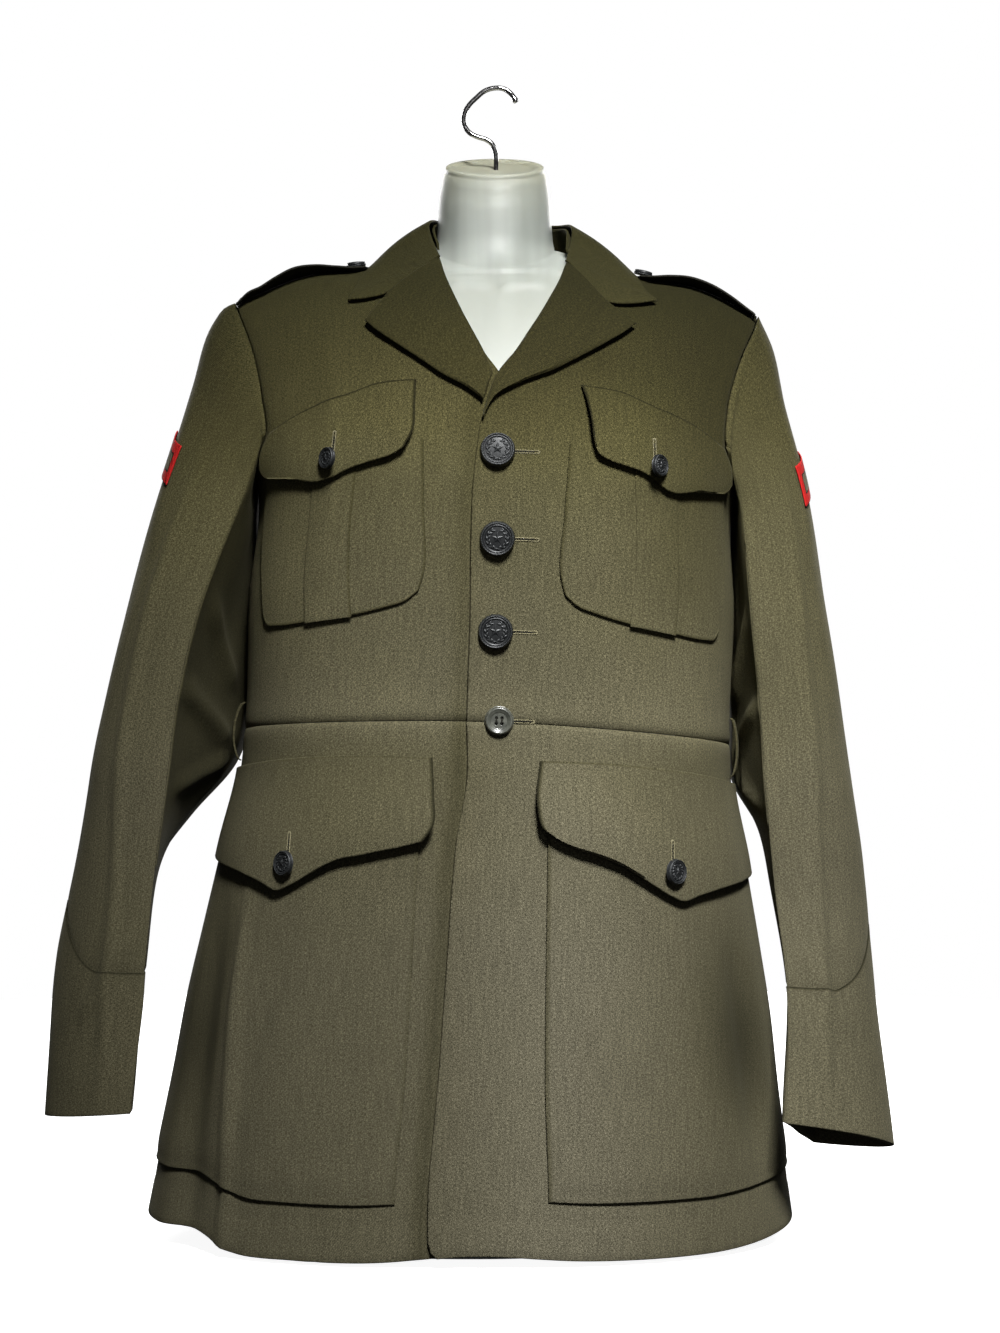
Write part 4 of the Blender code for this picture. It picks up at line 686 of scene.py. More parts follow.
def sleeve_lines(side, around):
    """Places down the sleeve (0 armhole, 1 wrist), the ring of points at each, and the first wall."""
    way = np.interp(around, *AROUND.T)
    spot = armhole(way, side)
    n = normal(spot)
    one, other = [surface(armhole(np.clip(way + step, -1, 1), side)) for step in (0.06, -0.06)]
    away = unit(np.cross(one - other, n))
    fold = pi * (1 - ease(np.abs(way), 0, 0.45))[:, None]
    first = surface(spot) + GAP * 3.2 * (away * np.cos(fold / 2) + n * np.sin(fold / 2))
    table = SLEEVE[side]
    rings = [sleeve_ring(row, around) for row in table]
    outward = np.sin(pi * np.clip(around / 0.5, 0, 1))
    crowns = []
    for down, full in zip(CROWN_DOWN, CROWN[side]):
        crown = first * (1 - down / SLEEVE_HEAD) + rings[0] * down / SLEEVE_HEAD
        crown[:, [0, 2]] += outward[:, None] * full
        crowns.append(crown)
    below = (table[0, 0] - table[:, 0]) / (table[0, 0] - table[-1, 0])
    knots = np.concatenate([[0.0], CROWN_DOWN, SLEEVE_HEAD + (1 - SLEEVE_HEAD) * below])
    return knots, np.stack([first] + crowns + rings), n * np.cos(fold) - away * np.sin(fold)


def sleeve_relief(around, down, side):
    """Creases of the sleeve: its pressed crease, drag lines at the elbow and slack."""
    slack = np.sin(26 * around + 9 * down + side) * np.sin(17 * down + 12 * around)
    girth, length = SLEEVE_SIZE
    folds = creases(SLEEVE_FOLDS, side, around * girth, down * length, SLEEVE_SIZE, 0.35)
    return (folds + 0.0009 * slack) * ease(down, 0, 0.12)


def sleeve(side, rows=128, head_rows=25):
    behind = np.linspace(0, 0.25, 29)
    around = np.concatenate([behind, 0.5 - behind[-2::-1], np.linspace(0.5, 1, 40)[1:]])
    knots, rings, face = sleeve_lines(side, around)
    down = np.concatenate([np.linspace(0, SLEEVE_HEAD, head_rows + 1)[:-1],
                           np.linspace(SLEEVE_HEAD, 1, rows - head_rows)])
    outer = smooth(down, knots, rings)
    outer[1:] = keep_off_body(outer[1:])
    closed = np.concatenate([outer[:, -2:-1], outer, outer[:, 1:2]], 1)
    down, blend = down[:, None], ease(down, 0, 0.07)[:, None, None]
    n = unit(face * (1 - blend) + grid_normals(closed)[:, 1:-1] * blend)
    relief = sleeve_relief(around, down, side) - 0.0014 * ease(down - cuff_line(side, around), -0.004, 0.008)
    outer = outer + n * relief[..., None]
    hollow = np.sin(pi * np.clip((around - 0.5) / 0.25, 0, 1)) ** 0.75   # behind the pressed front fold
    outer[..., 1] += 0.024 * hollow * ease(down, 0.16, 0.2) * ease(down, 0.86, -0.2)
    outer = np.where(down[..., None] > 0.01, keep_off_body(outer), outer)
    girth = lengths(outer[len(down) // 2])[-1]
    uv = np.stack(np.broadcast_arrays(around * girth, -down * SLEEVE_WEAVE), -1) + 0.23 * side
    # painted shade: near black on the under sleeve behind the pressed front fold, and darker towards the wrist, more
    # on the wearer's right sleeve
    shade = (0.30 if side > 0 else 0.77) * (around > 0.5) * ease(around, 0.97, -0.2)
    shade = np.maximum(shade, 0.12 + (0.20 if side > 0 else 0.38) * ease(down, 0.5, 0.35))
    seam_at = 2 * len(behind) - 2
    for name, part in (("sleeve_top", np.s_[:, :seam_at + 1]), ("sleeve_under", np.s_[:, seam_at:])):
        grids = [outer[part].copy(), (outer - n * WALL)[part]]
        for grid in grids:
            for edge, neighbour in ((0, 1), (-1, -2)):
                grid[:, edge] += unit(grid[:, neighbour] - grid[:, edge]) * 0.3 * GAP
        shell(name + WORD[side], *[put(grid, side) for grid in grids], uv[part], "hung",
              ["chest_front" + WORD[side]], sewn="lrf", shade=shade[part])


def band_on_sleeve(side, around, downs, thick, off, closed):
    """Outer and inner points of a band lying off the sleeve, rows at the given places down it."""
    knots, rings, _ = sleeve_lines(side, around)
    grid = keep_off_body(np.stack([smooth(downs[:, i], knots, rings[:, i]) for i in range(len(around))], 1))
    if closed:
        n = grid_normals(np.concatenate([grid[:, -1:], grid, grid[:, :1]], 1))[:, 1:-1]
    else:
        n = grid_normals(grid)
    n = n * np.sign(n[1, len(around) // 4 if closed else len(around) // 2, 0])
    relief = sleeve_relief(around, downs, side)
    return [put(grid + n * (out + relief)[..., None], side) for out in (off + thick, off)]


def cuff_line(side, around, share=1.0, plain=0.113, peak=0.052):
    """Place down the sleeve of the cuff's upper edge (share 1), which peaks on the outer face."""
    table = SLEEVE[side]
    height = plain + peak * np.clip(1 - np.abs(around - 0.25) / 0.15, 0, 1) ** 1.4
    return 1 - (1 - SLEEVE_HEAD) * height * share / (table[0, 0] - table[-1, 0])


def cuff(side, rows=42):
    """Pointed cuff: a band round the sleeve end, level with the sleeve above it."""
    ring, low = np.linspace(0, 1, 129)[:-1], np.linspace(0, 1, rows)[:, None]
    downs = cuff_line(side, ring, 1 - low)
    outer, inner = band_on_sleeve(side, ring, downs, 0.0013, -0.0011 + 0.0009 * ease(low, 0, 0.25), True)
    uv = np.stack(np.broadcast_arrays(ring * CUFF_GIRTH, -downs * SLEEVE_WEAVE), -1) + 0.23 * side
    # painted shade: the cuff darker, more on the wearer's right, with a painted shadow line along its upper seam
    shade = np.maximum((0.32 if side > 0 else 0.50), 0.88 * (low < 0.01))
    shell("cuff" + WORD[side], outer, inner, uv, "folded", ["sleeve_top" + WORD[side]], ring=True, shade=shade)


def chevron(side, low=0.5950, high=0.6270, peak=0.016, rows=17, columns=41):
    """Cloth badge on the outer upper arm: one plain bent bar, point up."""
    across, fine = np.linspace(-1, 1, columns), np.linspace(0, 0.3, 61)
    around = 0.25 + 0.090 * across
    knots, rings, _ = sleeve_lines(side, around)
    levels = smooth(fine, knots, rings)[..., 2]
    downs = np.array([[np.interp(-h, -levels[:, i], fine) for i, h in enumerate(edge + peak * (1 - np.abs(across)))]
                      for edge in np.linspace(high, low, rows)])
    outer, inner = band_on_sleeve(side, around, downs, 0.0012, LAY, False)
    uv = np.stack(np.meshgrid(across, np.linspace(1, -1, rows)), -1)
    shell("chevron" + WORD[side], outer, inner, uv, "laid", ["sleeve_top" + WORD[side]], finish=BADGE,
          slot="badge")


# ---------------------------------------------------------------- pockets, flaps and straps
# Outlines as seen points, mm
UPPER_FLAP_TOP = mm([(63.5, 679), (96, 674), (120, 664.5), (148, 654), (171, 641), (178, 636)])
UPPER_FLAP_OUT = mm([(178, 636), (182, 622), (182, 609)])
UPPER_FLAP_IN = {-1: mm([(63.5, 679), (62.5, 655), (62.5, 637), (69, 622.5)]),
                 1: mm([(63.5, 679), (67.2, 664), (70.8, 645), (72.2, 633)])}
UPPER_FLAP_LOW = {
    -1: mm([(69, 622.5), (78.5, 616.5), (95, 611.5), (112, 605.5), (122, 600.5), (130, 597.5), (137, 596.8),
            (150, 599), (166, 600), (177, 602), (182, 609)]),
    1: mm([(72.2, 633), (76.5, 622.5), (85, 618), (95.4, 615), (111, 610.5), (121, 605), (129, 599), (134, 597.5),
           (150, 599.5), (166, 600), (177, 602), (182, 609)])}
UPPER_BUTTON = {-1: (0.1220, 0.6135), 1: (0.1190, 0.6160)}
UPPER_POCKET = [mm(line) for line in (   # top, low, inner and outer edge
    [(56, 632), (120, 632), (180, 619)],
    [(56, 515.5), (66, 507), (80, 502), (104, 495.5), (140, 489), (166, 485), (174, 485.5), (177.5, 492)],
    [(56, 632), (53.5, 580), (52.5, 528), (56, 515.5)],
    [(180, 619), (181, 570), (180, 515), (177.5, 492)])]
PLEAT = (0.108, 0.141)   # box pleat of the upper pocket

LOWER_FLAP_IN = {-1: mm([(41, 388), (38.5, 360), (38, 335), (45.5, 323)]),
                 1: mm([(41, 388), (39.5, 353), (44, 336), (55, 328)])}
LOWER_FLAP_LOW = {
    -1: mm([(45.5, 323), (62.6, 317.8), (80, 313.5), (91.6, 310.2), (106, 307), (119, 300.5), (131, 292.5),
            (144, 283.8), (153.5, 279.2), (164, 284), (180, 290), (200, 294.5)]),
    1: mm([(55, 328), (69, 321.5), (88, 315.5), (104, 309), (117, 301), (129, 293), (141, 285.5), (150, 281.5),
           (162, 285.5), (180, 290.5), (200, 294.5)])}
LOWER_BUTTON = {-1: (0.1450, 0.3010), 1: (0.1410, 0.3045)}
LOWER_POCKET_IN = mm([(48.5, 352), (50, 278), (53, 140), (58, 60)])
POCKET_WALL = 0.0016


def upper_pocket(side):
    """Patch pocket with a raised box pleat."""
    grid = patch(*[seen(line) for line in UPPER_POCKET], 44, 44)
    left, right, _, low = edge_ways(surface(grid))
    near = np.minimum(np.minimum(left, right), low)
    cloth("upper_pocket", grid, side, 0.0003 * ease(near, 0.004, 0.02) + stitched(near), POCKET_WALL,
          ("chest_front",), "laid", shade=painted_shade(grid, side, "bi"))
    one, other = [along(seen([(x + 0.002 * d, 0.630), (x, 0.575), (x + 0.0015 * d, low)]), 44)[:, None]
                  for x, d, low in zip(PLEAT, (-1, 1), (0.4935, 0.4875))]
    across = np.linspace(0, 1, 13)[:, None]
    pleat = one * (1 - across) + other * across
    # painted shadow line along one side of the pleat only, the side the light leaves dark
    cloth("upper_pocket_pleat", pleat, side, POCKET_WALL + 0.0004, 0.0009, ("upper_pocket",), "folded",
          ("upper_pocket",), shade=painted_shade(pleat, side, "o" if side > 0 else "i"))


def flap_off(down, across, off, off_side=0.0034):
    """How far a flap hangs off at its lower edge, less toward the side."""
    return (off + (off_side - off) * ease(across, 0.62, 0.3)) * ease(down, 0, 0.9) ** 0.8


def flap_button(name, side, place, off, radius, turn, hole, rise):
    """Turned-out button of a flap, and the buttonhole that rises above it."""
    spot, end = seen([place, (place[0], place[1] + hole)])
    button(name + "_button" + WORD[side], spot, side, LAY + DOUBLE + off * 0.8, radius, 36, 108, turn)
    buttonhole(name + "_buttonhole" + WORD[side], (name + WORD[side],), side, spot, end, LAY + DOUBLE + rise)


def upper_flap(side, off=0.0058):
    grid = patch(seen(UPPER_FLAP_TOP), seen(UPPER_FLAP_LOW[side]), seen(UPPER_FLAP_IN[side]),
                 seen(UPPER_FLAP_OUT), 44, 26)
    down, across = shares(grid)
    away = flap_off(down, across, off) + 0.0022 * ease(across, 0.2, -0.2) * ease(down, 0, 0.3)
    cloth("upper_flap", grid, side, away, DOUBLE, ("upper_pocket",), "folded", shade=painted_shade(grid, side, "TI"))
    flap_button("upper_flap", side, UPPER_BUTTON[side], off, 0.0087, 27, 0.020, off * np.array([0.95, 0.66]))


def lower_pocket(side):
    """Full patch pocket hanging free of the skirt, round to the side."""
    start, foot_start = seen(LOWER_POCKET_IN)[[0, -1], 0]
    foot = np.linspace(foot_start, 89, 12)
    top = np.stack([np.linspace(start, 88, 12), np.linspace(0.352, 0.335, 12)], -1)
    low = np.stack([foot, hem(foot, side) + 0.044], -1)
    outer_edge = np.linspace((88, 0.335), (89, low[-1, 1]), 8)
    grid = patch(top, low, np.vstack([seen(LOWER_POCKET_IN), low[:1]]), outer_edge, 60, 76)
    down, across = shares(grid)
    full = 0.0035 * np.sin(pi * across) ** 0.6 * np.sin(pi * (0.15 + 0.75 * down)) * ease(down, 0, 0.35)
    left, _, _, low = edge_ways(surface(grid))
    full = full + stitched(np.minimum(left, low)) - 0.0010 * (1 - ease(low, 0, 0.02))
    cloth("lower_pocket", grid, side, 0.0004 + full, POCKET_WALL, ("skirt_front",), "laid",
          shade=painted_shade(grid, side, "i"))


def lower_flap(side, off=0.0092):
    turns = np.linspace(seen(LOWER_FLAP_IN[side])[0, 0], 88, 12)
    top = np.stack([turns, 0.388 - 0.018 * ease(turns, 20, 70)], -1)
    low = np.vstack([seen(LOWER_FLAP_LOW[side]), [(86.0, 0.298)]])
    grid = patch(top, low, seen(LOWER_FLAP_IN[side]), np.linspace((88, top[-1, 1]), (86, low[-1, 1]), 6), 60, 34)
    away = 0.0003 + flap_off(*shares(grid), off)
    cloth("lower_flap", grid, side, away, DOUBLE, ("lower_pocket",), "folded", shade=painted_shade(grid, side, "tI"))
    flap_button("lower_flap", side, LOWER_BUTTON[side], off, 0.0100, 18, 0.023,
                0.0003 + off * np.array([0.99, 0.78]))


# Shoulder strap, mm: distance from the centre line, bow over the right shoulder and over the left one,
# then its half width ahead of the ridge and behind it, in degrees of lean, times 1000
STRAP = mm([
    (213, 2, 0.3, 18500, 16000), (202, 6.2, 0.6, 18000, 15500), (191, 3.6, 1.2, 17000, 14500),
    (178, 4.5, 2.4, 16000, 13500), (164, 5.5, 3.4, 15000, 12500), (149, 3.4, 3.8, 14000, 11500),
    (135, 1.4, 3, 13000, 10500), (120, 0.2, 1.2, 12400, 10000), (110, 0, 0.2, 9000, 7500)])
STRAP_WALL = 0.0028
STRAP_RISE = 0.08        # how much of its bow the whole strap takes part in
STRAP_BUTTON = {-1: 0.1195, 1: 0.1140}


def epaulette(side, rows=60, columns=27):
    """Strap from the sleeve head to the collar, buttoned at its inner end."""
    down, sweep = np.linspace(0, 1, rows)[:, None], np.linspace(-1, 1, columns)
    reach, *bows, fore, aft = smooth(down[:, 0], np.linspace(0, 1, len(STRAP)), STRAP).T[..., None]
    bow = bows[side > 0]
    leans = np.where(sweep < 0, fore, aft) * sweep
    end = np.interp(leans[-1], COLLAR_LEAF[:, 1], COLLAR_LEAF[:, 0]) + 0.0038
    reach = (reach + (SHOULDER_TIP[side] - 0.0042 - reach[0]) * ease(1 - down / 0.15)
             + (end - reach[-1]) * ease(down, 0.85, 0.15))
    curl = np.clip((-0.35 - sweep) / 0.65, 0, 1) ** 1.5 + 0.5 * np.clip(sweep, 0, 1) ** 1.6
    cupped = (0.0046 + 0.95 * bow) * curl * np.sin(pi * np.clip(down, 0.03, 0.98)) ** 0.5
    out = LAY + STRAP_RISE * bow + cupped - 0.0014 * (1 - np.abs(sweep) ** 4)
    outer, inner = [lift(over(reach, leans), out + more) for more in (STRAP_WALL, 0.0008)]
    left, _, top, _ = edge_ways(outer)
    # the strap's inner face and rims take the near-black finish: partly its dark lining, partly painted shade under
    # the strap
    shell("epaulette" + WORD[side], put(outer, side), put(inner, side), np.stack([left, top], -1), "laid",
          ["chest_front" + WORD[side]], dark_underside=DARK_CLOTH_AND_SHADE)
    x = STRAP_BUTTON[side]
    rise = STRAP_RISE * np.interp(x, STRAP[::-1, 0], STRAP[::-1, 2 if side > 0 else 1]) - 0.0012
    button("epaulette_button" + WORD[side], over(x, -0.6), side, LAY + STRAP_WALL + rise, 0.0080, 26, 78)


def belt_loop(side, rows=26, columns=7):
    turn, rise = np.meshgrid(np.linspace(76.0, 81.0, columns), np.linspace(0.424, 0.3765, rows))
    bow = (0.0050 if side > 0 else 0.0075) * np.sin(np.linspace(0, pi, rows))[:, None] ** 0.6
    # painted shade: the loop darker than plain cloth
    cloth("belt_loop", np.stack([turn, rise], -1), side, bow, WALL, ("chest_front", "skirt_front"), "laid",
          shade=0.5)


# ---------------------------------------------------------------- threads and buttons
def ring_quads(count, sides):
    """Faces between neighbouring rings of points."""
    a = np.arange((count - 1) * sides)
    b = a - a % sides + (a + 1) % sides
    return np.stack([a, b, b + sides, a + sides], -1).tolist()


def threads(name, starts, ends, ups, radius, nodes, finish, flat=0.75):
    """Many short stitches as one piece: each a rounded thread from its start to its end."""
    run, ups = ends - starts, unit(ups)
    aside = unit(np.cross(run, ups))
    ways, sizes = np.array([0.0, 0.12, 0.5, 0.88, 1.0]), np.array([0.35, 0.8, 1.0, 0.8, 0.35])
    lifts = np.array([-0.9, 0.1, 0.6, 0.1, -0.9])
    angle = 2 * pi * np.arange(6) / 6
    ring = np.cos(angle)[:, None] * aside[:, None, None, :] + flat * np.sin(angle)[:, None] * ups[:, None, None, :]
    spine = starts[:, None] + run[:, None] * ways[:, None] + ups[:, None] * radius * lifts[:, None]
    points = spine[:, :, None, :] + ring * radius * sizes[:, None, None]
    one = ring_quads(5, 6) + [[0, 5, 4, 3, 2, 1], [24, 25, 26, 27, 28, 29]]
    faces = [[30 * i + corner for corner in face] for i in range(len(starts)) for face in one]
    add_mesh(name, points.reshape(-1, 3), faces, finish, nodes)


def star(x, y, size):
    """Height, 0 to 1, of a faceted five-pointed star at points of a unit disc."""
    angle, r = np.arctan2(x, y), np.hypot(x, y)
    part = np.abs((angle / (2 * pi / 5) + 0.5) % 1 - 0.5) * 2 * pi / 5
    notch_x, notch_y = size * 0.42 * cos(pi / 5), size * 0.42 * sin(pi / 5)
    run = size - notch_x
    beyond = ((r * np.cos(part) - notch_x) * notch_y + (r * np.sin(part) - notch_y) * run) / np.hypot(run, notch_y)
    return np.clip(-beyond / (0.40 * size), 0, 1) ** 0.7


def leaf(x, y, at_x, at_y, angle, length=0.115, width=0.048):
    c, s = cos(angle), sin(angle)
    u, v = (x - at_x) * c + (y - at_y) * s, -(x - at_x) * s + (y - at_y) * c
    return np.sqrt(np.clip(1 - (u / length) ** 2 - (v / (width * (1 - 0.5 * (u / length)))) ** 2, 0, 1))


def button_face(x, y):
    """Relief over the plain dome, 0 to 1: a star between two laurel sprays, beads and a rope rim."""
    r, angle = np.hypot(x, y), np.arctan2(y, x)
    reliefs = [star(x, y - 0.04, 0.36)]
    for k in range(6):
        for way in (1, -1):
            for ahead, lean, reach in ((0.0, 0.5, 0.60), (0.12, -0.5, 0.50)):
                a = radians(-78 + 27 * k) + ahead
                reliefs.append(0.75 * leaf(x * way, y, reach * cos(a), reach * sin(a), a + pi / 2 - lean))
    stem = bell(r, 0.55, 0.022) * (y < 0.38)
    beads = bell(r, 0.775, 0.030) * (0.35 + 0.65 * np.abs(np.cos(angle * 26)))
    rope = bell(r, 0.905, 0.055) * (0.55 + 0.45 * np.cos(angle * 40 + (r - 0.9) * 55))
    return np.maximum.reduce(reliefs + [0.35 * stem, 0.6 * beads, 0.95 * rope])


def button_frame(spot, side, out, turn=0.0, radius=0.0):
    """Middle, axis, across and up of a button; turn swings it outward by so many degrees."""
    axis = mirrored(normal(spot), side)
    centre = mirrored(lift(spot, out, side), side) + axis * radius * 0.8 * sin(radians(abs(turn)))
    c, s = cos(radians(turn * side)), sin(radians(turn * side))
    axis = np.array([axis[0] * c - axis[1] * s, axis[0] * s + axis[1] * c, axis[2]])
    lying = abs(axis[2]) > 0.8
    across = unit(np.cross(axis, (0, 1, 0) if lying else (0, 0, 1)))
    across = -across if across[0] < 0 and not lying else across
    upward = np.cross(across, axis)
    return centre, axis, across, -upward if upward[2] < 0 and not lying else upward


def turned(name, spot, side, out, radius, heights, under, rings, sides, finish, turn=0.0):
    """Button: a relief face given by heights(x, y) over a turned edge and back."""
    centre, axis, across, upward = button_frame(spot, side, out, turn, radius)
    k, after = np.arange(sides), np.roll(np.arange(sides), -1)
    x, y = np.cos(2 * pi * k / sides), np.sin(2 * pi * k / sides)
    profile = [(share, heights(share * x, share * y)) for share in np.linspace(0, 1, rings + 1)[1:] ** 0.9 * 0.985]
    profile += [(share, np.full(sides, height)) for share, height in under]
    levels = [centre + radius * share * (x[:, None] * across + y[:, None] * upward) + axis * height[:, None]
              for share, height in profile]
    middle, bottom = centre + axis * heights(np.zeros(1), np.zeros(1)), centre + axis * under[-1][1]
    points = np.concatenate([middle[None]] + levels + [bottom[None]])
    last = len(points) - 1
    faces = np.stack([0 * k, 1 + k, 1 + after], -1).tolist()
    faces += [[1 + a, 1 + d, 1 + c, 1 + b] for a, b, c, d in ring_quads(len(levels), sides)]
    faces += np.stack([0 * k + last, last - sides + after, last - sides + k], -1).tolist()
    add_mesh(name, put(points), faces, finish, (name,))


def button(name, spot, side, out, radius, rings=44, sides=132, turn=0.0):
    """Domed metal button; a turned-out one has the stronger relief."""
    def heights(x, y):
        r = np.hypot(x, y)
        dome = 0.0066 - 0.0013 * r ** 2 + 0.0004 * ease(r, 0.80, 0.08)
        edge = -0.0030 * np.clip((r - 0.90) / 0.085, 0, 1) ** 2.5
        face = (0.00120 if turn else 0.00085) * (button_face(x, y) - 0.5 * (r < 0.7))
        return 0.0003 + (dome + edge + face) * (0.45 + 0.55 * radius / 0.0135)

    under = [(1.0, 0.0026), (0.97, 0.0020), (0.55, 0.0019), (0.26, 0.0018), (0.26, 0.0005)]
    turned(name, spot, side, out, radius, heights, under, rings, sides, METAL, turn)


def waist_button(name, spot, side, out, radius, hole=0.19):
    """Flat moulded button with four sewing holes and its thread."""
    def heights(x, y):
        r = np.hypot(x, y)
        top = 0.0046 + 0.0009 * bell(r, 0.82, 0.11) - 0.0007 * ease(r, 0.66, -0.14)
        top = top - 0.0034 * np.clip((r - 0.88) / 0.105, 0, 1) ** 2.2
        return top - 0.0026 * ease(np.hypot(np.abs(x) - hole, np.abs(y) - hole), 0.125, -0.05)

    turned(name, spot, side, out, radius, heights, [(1.0, 0.0016), (0.93, 0.0007), (0.26, 0.0005)], 60, 120, HORN)
    centre, axis, across, upward = button_frame(spot, side, out)
    lines = np.array([x + shift for x in (-hole, hole) for shift in (-0.045, 0.0, 0.045)])[:, None]
    starts, ends = [put(centre + radius * (lines * across + y * upward) + axis * 0.0042) for y in (-hole, hole)]
    threads(name + "_thread", starts, ends, np.tile(axis, (6, 1)), 0.00028, (name,), DARK_CLOTH_AND_SHADE)


def buttonhole(name, nodes, side, start, end, out, width=0.0016):
    """Worked buttonhole from start to end: satin stitches round a slit, lying on the cloth, with a dark cord along
    the slit as painted shade.
    """
    run = surface(end) - surface(start)
    count = int(np.linalg.norm(run) / 0.00062)
    t = np.linspace(0, 1, count)[:, None]
    spots = start * (1 - t) + end * t
    middle, n = lift(spots, np.linspace(*np.broadcast_to(out, 2), count), side), normal(spots)
    aside = unit(np.cross(n, run))
    stitches = [(middle + aside * way * 0.0006 + n * 0.0003, middle + aside * way * width + n * 0.00012, n)
                for way in (1, -1)]
    for centre, facing in ((middle[-1:], unit(run)), (middle[:1], -unit(run))):
        for a in np.linspace(-pi / 2, pi / 2, 7):
            way = facing * cos(a) + aside[-1] * sin(a)
            stitches.append((centre + way * 0.00035 + n[-1] * 0.0003,
                             centre + way * width * 1.1 + n[-1] * 0.00012, n[-1:]))
    starts, ends, ups = [np.concatenate(part) for part in zip(*stitches)]
    # a dark cord along the slit: painted shade in the slit
    slit, facing = [part[:count - count % 3] for part in (put(middle, side), mirrored(n, side))]
    threads(name + "_slit_shade", slit[:-3:3], slit[3::3], facing[:-3:3], 0.0006, nodes, DARK_CLOTH_AND_SHADE, 0.3)
    threads(name, put(starts, side), put(ends, side), mirrored(ups, side), 0.00036, nodes, THREAD)


FRONT_BUTTONS = [        # name, distance from the centre line, height, radius, reach of its buttonhole
    ("front_button_1", 0.001, 0.624, 0.0135, 0.031), ("front_button_2", 0.003, 0.557, 0.0135, 0.031),
    ("front_button_3", 0.004, 0.486, 0.0135, 0.031), ("waist_button", 0.009, 0.4175, 0.0113, 0.026)]


def front_fastening():
    for name, x, height, radius, reach in FRONT_BUTTONS:
        spot, start, end = seen([(x, height), (x - 0.002, height), (x + reach, height)])
        (waist_button if name == "waist_button" else button)(name, spot, 1, 0.0, radius)
        buttonhole(name + "_hole", ("chest_front_left",), 1, start, end, 0.0)


# ---------------------------------------------------------------- dress form
NECK_X, NECK_Y = -0.001, 0.006       # the form's own upright axis
NECK = mm([(47.5, 806), (46.6, 818), (45.3, 838), (42.5, 856)])      # radius, height
NECK_CAP = mm([(40.8, 860), (40, 861.2), (40.3, 862.2), (40.2, 864), (39.2, 864.8), (37, 865), (33.5, 864.5),
               (32, 862.5), (29, 862), (6, 862.2)])
NECK_FOOT = 0.0485                   # radius where the neck leaves the shoulders
FORM_UNDER = 0.0039                  # form's shoulder ridge under the coat's outer surface


def form_level(x, y):
    """Height of the form's shoulders at one place."""
    lean = np.linspace(0, pi / 2, 90)
    rise = CHEST_Z + OVER * (1 - lean / (pi / 2))
    power = column(FORM, rise, 4)
    ahead = (1 - np.clip(abs(x) / column(FORM, rise), 0, 1) ** power) ** (1 / power)
    ridge_z, ridge_y = ridge(x)
    fore = y < ridge_y
    way, depth = (-1, FORM[5, 2]) if fore else (1, FORM[5, 3])
    up, out = shoulder(lean, fore)
    reach = way * ridge_y * (1 - out) + depth * ahead * out
    return np.interp(way * y, reach, CHEST_Z + (ridge_z - FORM_UNDER - CHEST_Z) * up)


def tube(rings):
    """Points and faces of a body through rings of points, its ends closed flat."""
    count, sides = len(rings), len(rings[0])
    ends = np.arange(sides)
    return np.concatenate(rings), ring_quads(count, sides) + [ends[::-1].tolist(),
                                                              (ends + sides * (count - 1)).tolist()]


def form(sides=120):
    """Limbless torso: flat base, waist, chest, shoulders, and a neck with a moulded cap."""
    turn = np.linspace(0, 360, sides + 1)[:-1]
    circle = np.stack([np.sin(np.radians(turn)), -np.cos(np.radians(turn))], -1)
    base = put(body(turn, 0.0, FORM))
    base[:, 2] = 0
    middle = base.mean(0)
    rings = [middle + (base - middle) * (1 - inset) for inset in (0.02, 0.006)]
    for level in np.concatenate([[0.003], np.linspace(0.012, 0.60, 44)]):
        ring = put(body(turn, level, FORM))
        ring[:, 2] += (level - ring[:, 2]) * (1 - ease(level, 0, 0.40))
        rings.append(ring)
    chest = body(turn, CHEST_Z, FORM)[:, :2]
    foot = NECK_FOOT * circle + np.array([NECK_X - CENTRE, NECK_Y])
    for share in np.concatenate([[0.02, 0.05, 0.09, 0.14], np.linspace(0.20, 1.0, 30)]):
        rings.append(put(np.array([(x, y, form_level(x, y)) for x, y in chest * (1 - share) + foot * share])))
    levels = np.linspace(NECK[0, 1], NECK[-1, 1], 18)
    neck = np.stack([smooth(levels, NECK[:, 1], NECK[:, 0]), levels], -1)
    for radius, level in np.concatenate([neck, NECK_CAP]):
        flat = radius * circle + np.array([NECK_X, NECK_Y])
        rings.append(np.concatenate([flat, np.full((sides, 1), level)], 1))
    points, faces = tube(rings)
    x, y, z = points.T
    z += 0.36 * (y - NECK_Y) * ease(z, 0.815, 0.035) + 0.0030 * ease(z, 0.815, 0.03)
    moulding = 0.0042 * bell(z, 0.7765, 0.0032) * ease(np.abs(x), 0.060, -0.02)
    bent = z - 0.7650 + 9.0 * (np.abs(x - 0.002) - 0.024) ** 2
    bones = 0.0034 * bell(bent, 0, 0.0050) * ease(np.abs(x - 0.002), 0.046, -0.012) * ease(np.abs(x), 0, 0.012)
    y -= (moulding + bones) * ease(y, 0, -0.03)
    add_mesh("form_torso_shell", points, faces, PLASTIC, ("form_torso",))


HOOK_WIRE = 0.002        # radius
HOOK = mm([              # the wire's middle, from the neck cap: across, up
    (0, 864), (0, 873.2), (-1, 881.3), (-3.2, 886.2), (-7.3, 889.5), (-14.7, 892), (-21.2, 895.2), (-25.3, 900.5),
    (-26.4, 907.5), (-25.3, 912.4), (-22, 918.1), (-16.3, 923.9), (-9, 929.8), (-1.6, 932), (6.2, 931.5),
    (11.8, 927.9), (16.8, 920.6)])


